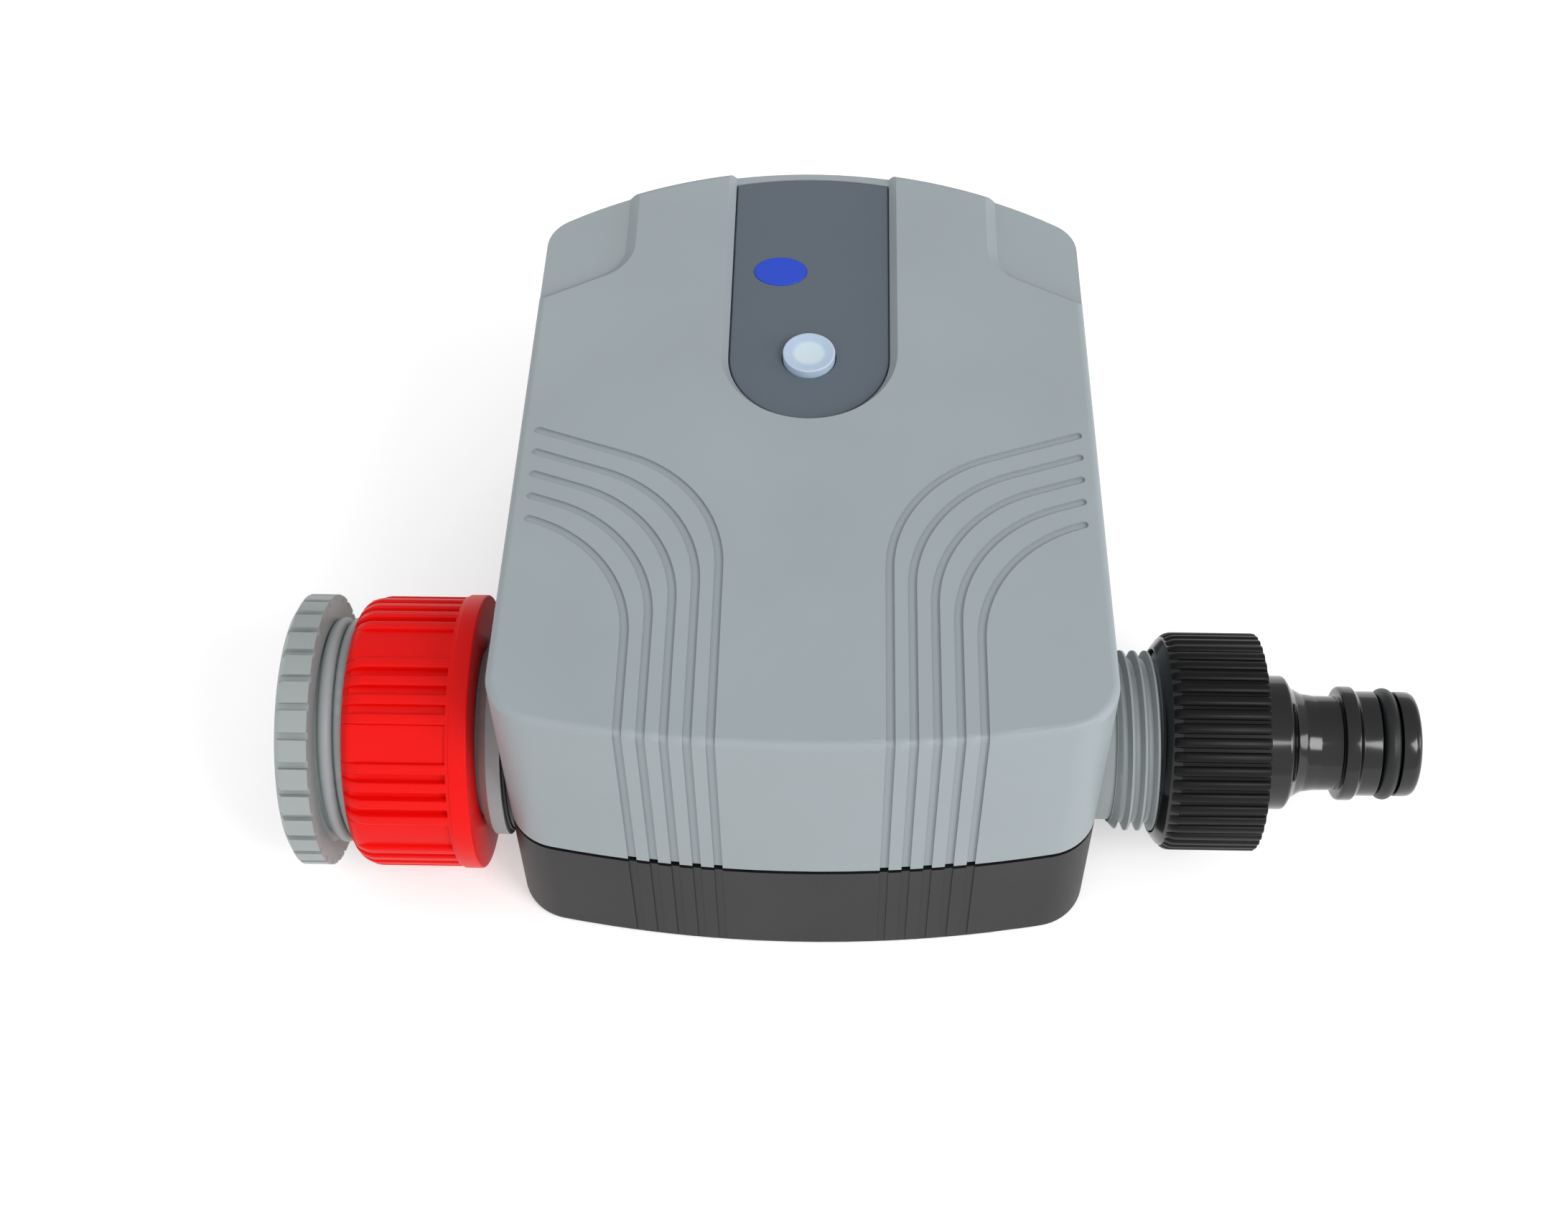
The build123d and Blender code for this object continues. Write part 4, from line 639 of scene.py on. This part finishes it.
# %% Grip ribs and inside thread
grip_line = [(52.2, 15.2), (52.5, 15.55), (52.9, 15.8), (53.5, 15.97), (54.2, 16.0), (65.7, 16.0),
             (65.95, 15.85)]
grip_ribs = 48
grip_rib = bar("grip_rib", grip_line, 3.0, 15.0, 0.62, grip_plastic, across=3)
set_round(hose_tail, grip_rib, grip_ribs, 360 / grip_ribs / 2)
hose_thread = thread("hose_thread", grip_plastic, start=52.0, end=57.0, pitch=outlet_pitch,
                     crest=outlet_crest + outlet_pitch / 2, radius=13.35, cord=0.42, run_out=0.8)
for piece in (hose_tail, hose_thread):
    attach(piece, "hose_connector")
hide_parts("hose_connector")

# %% O-ring and grommet
wire, seal_x, seal_radius = 1.27, 84.95, 6.93
seal_points = 24
seal_outline = [(seal_x + wire * cos(tau * k / seal_points), seal_radius + wire * sin(tau * k / seal_points))
                for k in range(seal_points)]
nose_seal = turned("nose_seal", seal_outline, rubber)
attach(nose_seal, "hose_connector")
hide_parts("nose_o_ring")
pipe_grommet = softened("pipe_grommet", "inlet_grommet", rubber, 0.12)
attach(pipe_grommet, "case")

# %% [markdown]
# ## Button and badge
# The button is a short silicone post with a shallow dish for the fingertip. Light that enters
# its rim leaves through the dish; that light is painted in, so the middle is tinted paler than
# the ring round it. The badge is an oval of clear-coated enamel, slightly crowned.

# %% Button
button_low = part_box("push_button")[0][2] / mm
print("underside of the button:", round(button_low, 3))


def on_button(along, out, angle):
    """A point about the button's upright axis."""
    return Vector((button_at[0] + out * cos(angle), button_at[1] + out * sin(angle), along)) * mm


dish_floor, dish_depth, dish_radius = 54.45, 0.35, 3.7
dish = [(dish_floor + dish_depth * (out / dish_radius) ** 2, out)
        for out in (0.0, 0.6, 1.2, 1.8, 2.4, 3.0, 3.35)]
press_button = turned("press_button", dish + [
    (54.8, 3.62, 0.15), (54.76, 3.9, 0.3), (50.1, 3.9, 0.15), (50.1, 5.2, 0.2), (button_low, 5.2, 0.2),
    (button_low, 0.0)], button_silicone, on_button, 96)
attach(press_button, "button")
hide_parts("push_button")

# %% Badge
enamel_badge = softened("enamel_badge", "badge", badge_enamel, 0.12)
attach(enamel_badge, "case")

# %% [markdown]
# ## Screws
# Six screws hold the shells together and four short ones the battery door, all from below. A
# screw head is a low turned dome with a cross for the driver, which a Boolean modifier takes
# out. Geometry Nodes set copies on the places, which are mirrored left and right.

# %% One screw and its cross
def screw_place(along, out, angle):
    """A point about an upright axis through the model's origin."""
    return Vector((out * cos(angle), out * sin(angle), along)) * mm


def make_screw(name, head, head_height, shank, reach, finish):
    """A pan-head screw that points up, with the underside of its head at height zero."""
    body = turned(name, [
        (-head_height, 0.0), (-head_height, head * 0.55), (-head_height * 0.8, head * 0.9, 0.3),
        (-head_height * 0.35, head, 0.2), (0.0, head, 0.08), (0.0, shank), (reach - shank, shank),
        (reach, 0.0)], finish, screw_place, 40)
    cross = bmesh.new()
    for wide, deep in ((1.15, 0.28), (0.28, 1.15)):
        size = Matrix.Diagonal((head * wide * mm, head * deep * mm, head_height * 1.1 * mm, 1.0))
        bmesh.ops.create_cube(cross, size=1.0, matrix=Matrix.Translation((0, 0, -head_height * mm)) @ size)
    cutter = as_piece("cross", cross, finish, 30.0)
    cut = body.modifiers.new("cross recess", "BOOLEAN")
    cut.object = cutter
    cut.solver = "EXACT"
    cut.use_self = True
    keep_mesh(body)
    bpy.data.objects.remove(cutter)
    return body


# %% The tree that sets copies on places
def place_tree():
    """Copies of a part on the points of the piece's own mesh."""
    tree, given = new_tree("copies on places", [("Part", "Object")])
    part = put(tree, "GeometryNodeObjectInfo", {"Object": given["Part"]}, transform_space="ORIGINAL")
    copies = put(tree, "GeometryNodeInstanceOnPoints", {
        "Points": given["Geometry"], "Instance": part.outputs["Geometry"]})
    real = put(tree, "GeometryNodeRealizeInstances", {0: copies.outputs[0]})
    put(tree, "NodeGroupOutput", {0: real.outputs[0]})
    return tree


copies_on_places = place_tree()


def screws(name, node, part, places, height):
    """Copies of a screw on mirrored places at one height, in millimetres."""
    spots = [Vector((side * x, y, height)) * mm for x, y in places for side in (-1, 1)]
    mesh = bpy.data.meshes.new(name)
    mesh.from_pydata(spots, [], [])
    piece = run_tree(new_piece(name, mesh), copies_on_places, {"Part": part})
    bpy.data.objects.remove(part)
    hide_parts(node)
    return piece


# %% Case and door screws
case_screw = make_screw("case_screw", head=2.7, head_height=2.0, shank=1.45, reach=30.7,
                        finish=zinc_steel)
case_places = [(33.0, -16.3), (36.4, 19.5), (36.4, 62.0)]
shell_screws = screws("shell_screws", "case_screws", case_screw, case_places, 2.3)
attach(shell_screws, "case")
door_screw = make_screw("door_screw", head=2.0, head_height=1.2, shank=1.1, reach=6.9,
                        finish=zinc_steel)
door_places = [(36.2, 28.0), (36.2, 50.0)]
hatch_screws = screws("hatch_screws", "door_screws", door_screw, door_places, 1.5)
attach(hatch_screws, "battery_door")

# %% [markdown]
# ## Filter
# Inside the tap ring a cone of fine woven wire keeps sand out. A cone's grid of edges becomes
# curves in Geometry Nodes, and each edge gets a round wire. The real mesh is finer; it is
# drawn coarse enough to read as wires from the tap's side.

# %% The tree that turns edges to wires
def wire_tree():
    """Every edge of the piece's mesh becomes a wire."""
    tree, given = new_tree("wires", [("Wire", "Float"), ("Material", "Material")])
    lines = put(tree, "GeometryNodeMeshToCurve", {"Mesh": given["Geometry"]})
    ring = put(tree, "GeometryNodeCurvePrimitiveCircle", {"Resolution": 5, "Radius": given["Wire"]})
    wires = put(tree, "GeometryNodeCurveToMesh", {
        "Curve": lines.outputs[0], "Profile Curve": ring.outputs[0], "Fill Caps": True})
    real = put(tree, "GeometryNodeRealizeInstances", {0: wires.outputs[0]})
    done = put(tree, "GeometryNodeSetMaterial", {
        "Geometry": real.outputs[0], "Material": given["Material"]})
    put(tree, "NodeGroupOutput", {0: done.outputs[0]})
    return tree


# %% Filter mesh
weave = bmesh.new()
wires_round, hoops, wire_radius = 48, 10, 0.09
rim, tip, rim_x, tip_x = 7.3, 3.3, -64.7, -55.3


def hoop(x, out):
    """A ring of points round the pipe's axis."""
    return [weave.verts.new(on_pipe(x, out, tau * k / wires_round)) for k in range(wires_round)]


weave_rings = []
for way in [step / hoops for step in range(hoops + 1)]:
    weave_rings.append(hoop(rim_x + (tip_x - rim_x) * way, rim + (tip - rim) * way))
for grow_in in (0.66, 0.33):
    weave_rings.append(hoop(tip_x, tip * grow_in))
for ring, following in zip(weave_rings, weave_rings[1:]):
    for k in range(wires_round):
        weave.edges.new((ring[k], ring[(k + 1) % wires_round]))
        weave.edges.new((ring[k], following[k]))
tap_filter = as_piece("tap_filter", weave, zinc_steel, 40.0)
run_tree(tap_filter, wire_tree(), {"Wire": wire_radius * mm, "Material": zinc_steel})
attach(tap_filter, "filter")
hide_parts("filter_screen")

# %% [markdown]
# ## Floor and light
# The timer stands on a plain white sweep. The floor takes shadows as white paper would, and
# adds a little of its own light for the camera, for mirrors and for what is seen through, so
# that it reaches white without lighting the object. The world is a white room, brighter in
# front than behind. A soft window lamp at the right front and a smaller one far to the right
# give the faces their order of brightness.

# %% Floor
own_light = 0.42
floor_mesh = bmesh.new()
bmesh.ops.create_grid(floor_mesh, x_segments=1, y_segments=1, size=3.0)
paper, paper_tree, paper_shader = new_material("white paper sweep", "#E9E9E9", 0.9)
floor_rays = put(paper_tree, "ShaderNodeLightPath").outputs
looked_at = reckon(paper_tree, "MAXIMUM", floor_rays["Is Camera Ray"], floor_rays["Is Glossy Ray"])
seen = reckon(paper_tree, "MAXIMUM", looked_at, floor_rays["Is Transmission Ray"])
glow = put(paper_tree, "ShaderNodeEmission", {
    "Color": linear("#FFFFFF"), "Strength": reckon(paper_tree, "MULTIPLY", seen, own_light)})
both = put(paper_tree, "ShaderNodeAddShader", {0: paper_shader.outputs[0], 1: glow.outputs[0]})
paper_tree.links.new(both.outputs[0], paper_tree.nodes["Material Output"].inputs["Surface"])
floor = as_piece("floor", floor_mesh, paper, 30.0)

# %% World
front_light, rear_light = 1.05, 0.5
world = bpy.data.worlds.new("white room, brighter in front")
bpy.context.scene.world = world
world.use_nodes = True
sky = world.node_tree
background = sky.nodes["Background"]
background.inputs["Color"].default_value = linear("#FFFFFF")
direction = put(sky, "ShaderNodeSeparateXYZ", {0: put(sky, "ShaderNodeTexCoord").outputs["Generated"]})
glow_by_side = put(sky, "ShaderNodeMapRange", {
    "Value": direction.outputs["Y"], "From Min": -1.0, "From Max": 1.0,
    "To Min": front_light, "To Max": rear_light}).outputs[0]
# The camera itself sees a full white
sky_rays = put(sky, "ShaderNodeLightPath").outputs
strength = reckon(sky, "MAXIMUM", glow_by_side, sky_rays["Is Camera Ray"])
sky.links.new(strength, background.inputs["Strength"])
print("world light in front and behind:", front_light, rear_light)

# %% Lamps
def soft_lamp(name, spot, aim, size, watts):
    """A square area lamp that faces a point; places in metres."""
    lamp = bpy.data.lights.new(name, "AREA")
    lamp.size = size
    lamp.energy = watts
    holder = bpy.data.objects.new(name, lamp)
    holder.location = spot
    holder.rotation_euler = (Vector(aim) - Vector(spot)).to_track_quat("-Z", "Y").to_euler()
    bpy.context.scene.collection.objects.link(holder)
    print(name, "watts:", watts)


soft_lamp("window", spot=(0.62, -0.55, 0.8), aim=(0.0, 0.03, 0.03), size=0.4, watts=4.5)
soft_lamp("side window", spot=(1.0, -0.15, 0.32), aim=(0.05, 0.0, 0.03), size=0.3, watts=1.5)
bpy.context.scene.view_settings.view_transform = "Standard"

# %% [markdown]
# ## Camera
# The view was found from the pipe's round parts and the case's outline: a lens of 51 mm from
# 0.35 m away, looking down by 54 degrees.

# %% Camera
eye = Vector((3.835, -178.271, 299.728)) * mm
heading, dip, roll = radians(-2.0855), radians(54.1229), radians(-0.9451)
ahead = Vector((sin(heading) * cos(dip), cos(heading) * cos(dip), -sin(dip)))
level_right = Vector((cos(heading), -sin(heading), 0.0))
level_up = level_right.cross(ahead)
right = level_right * cos(roll) + level_up * sin(roll)
above = level_up * cos(roll) - level_right * sin(roll)
lens = bpy.data.cameras.new("camera")
lens.sensor_width = 36.0
lens.lens = 51.11
lens.clip_start = 0.01
camera = bpy.data.objects.new("camera", lens)
camera.matrix_world = Matrix.Translation(eye) @ Matrix((right, above, -ahead)).transposed().to_4x4()
bpy.context.scene.collection.objects.link(camera)
bpy.context.scene.camera = camera
print("camera at:", [round(v, 3) for v in eye])
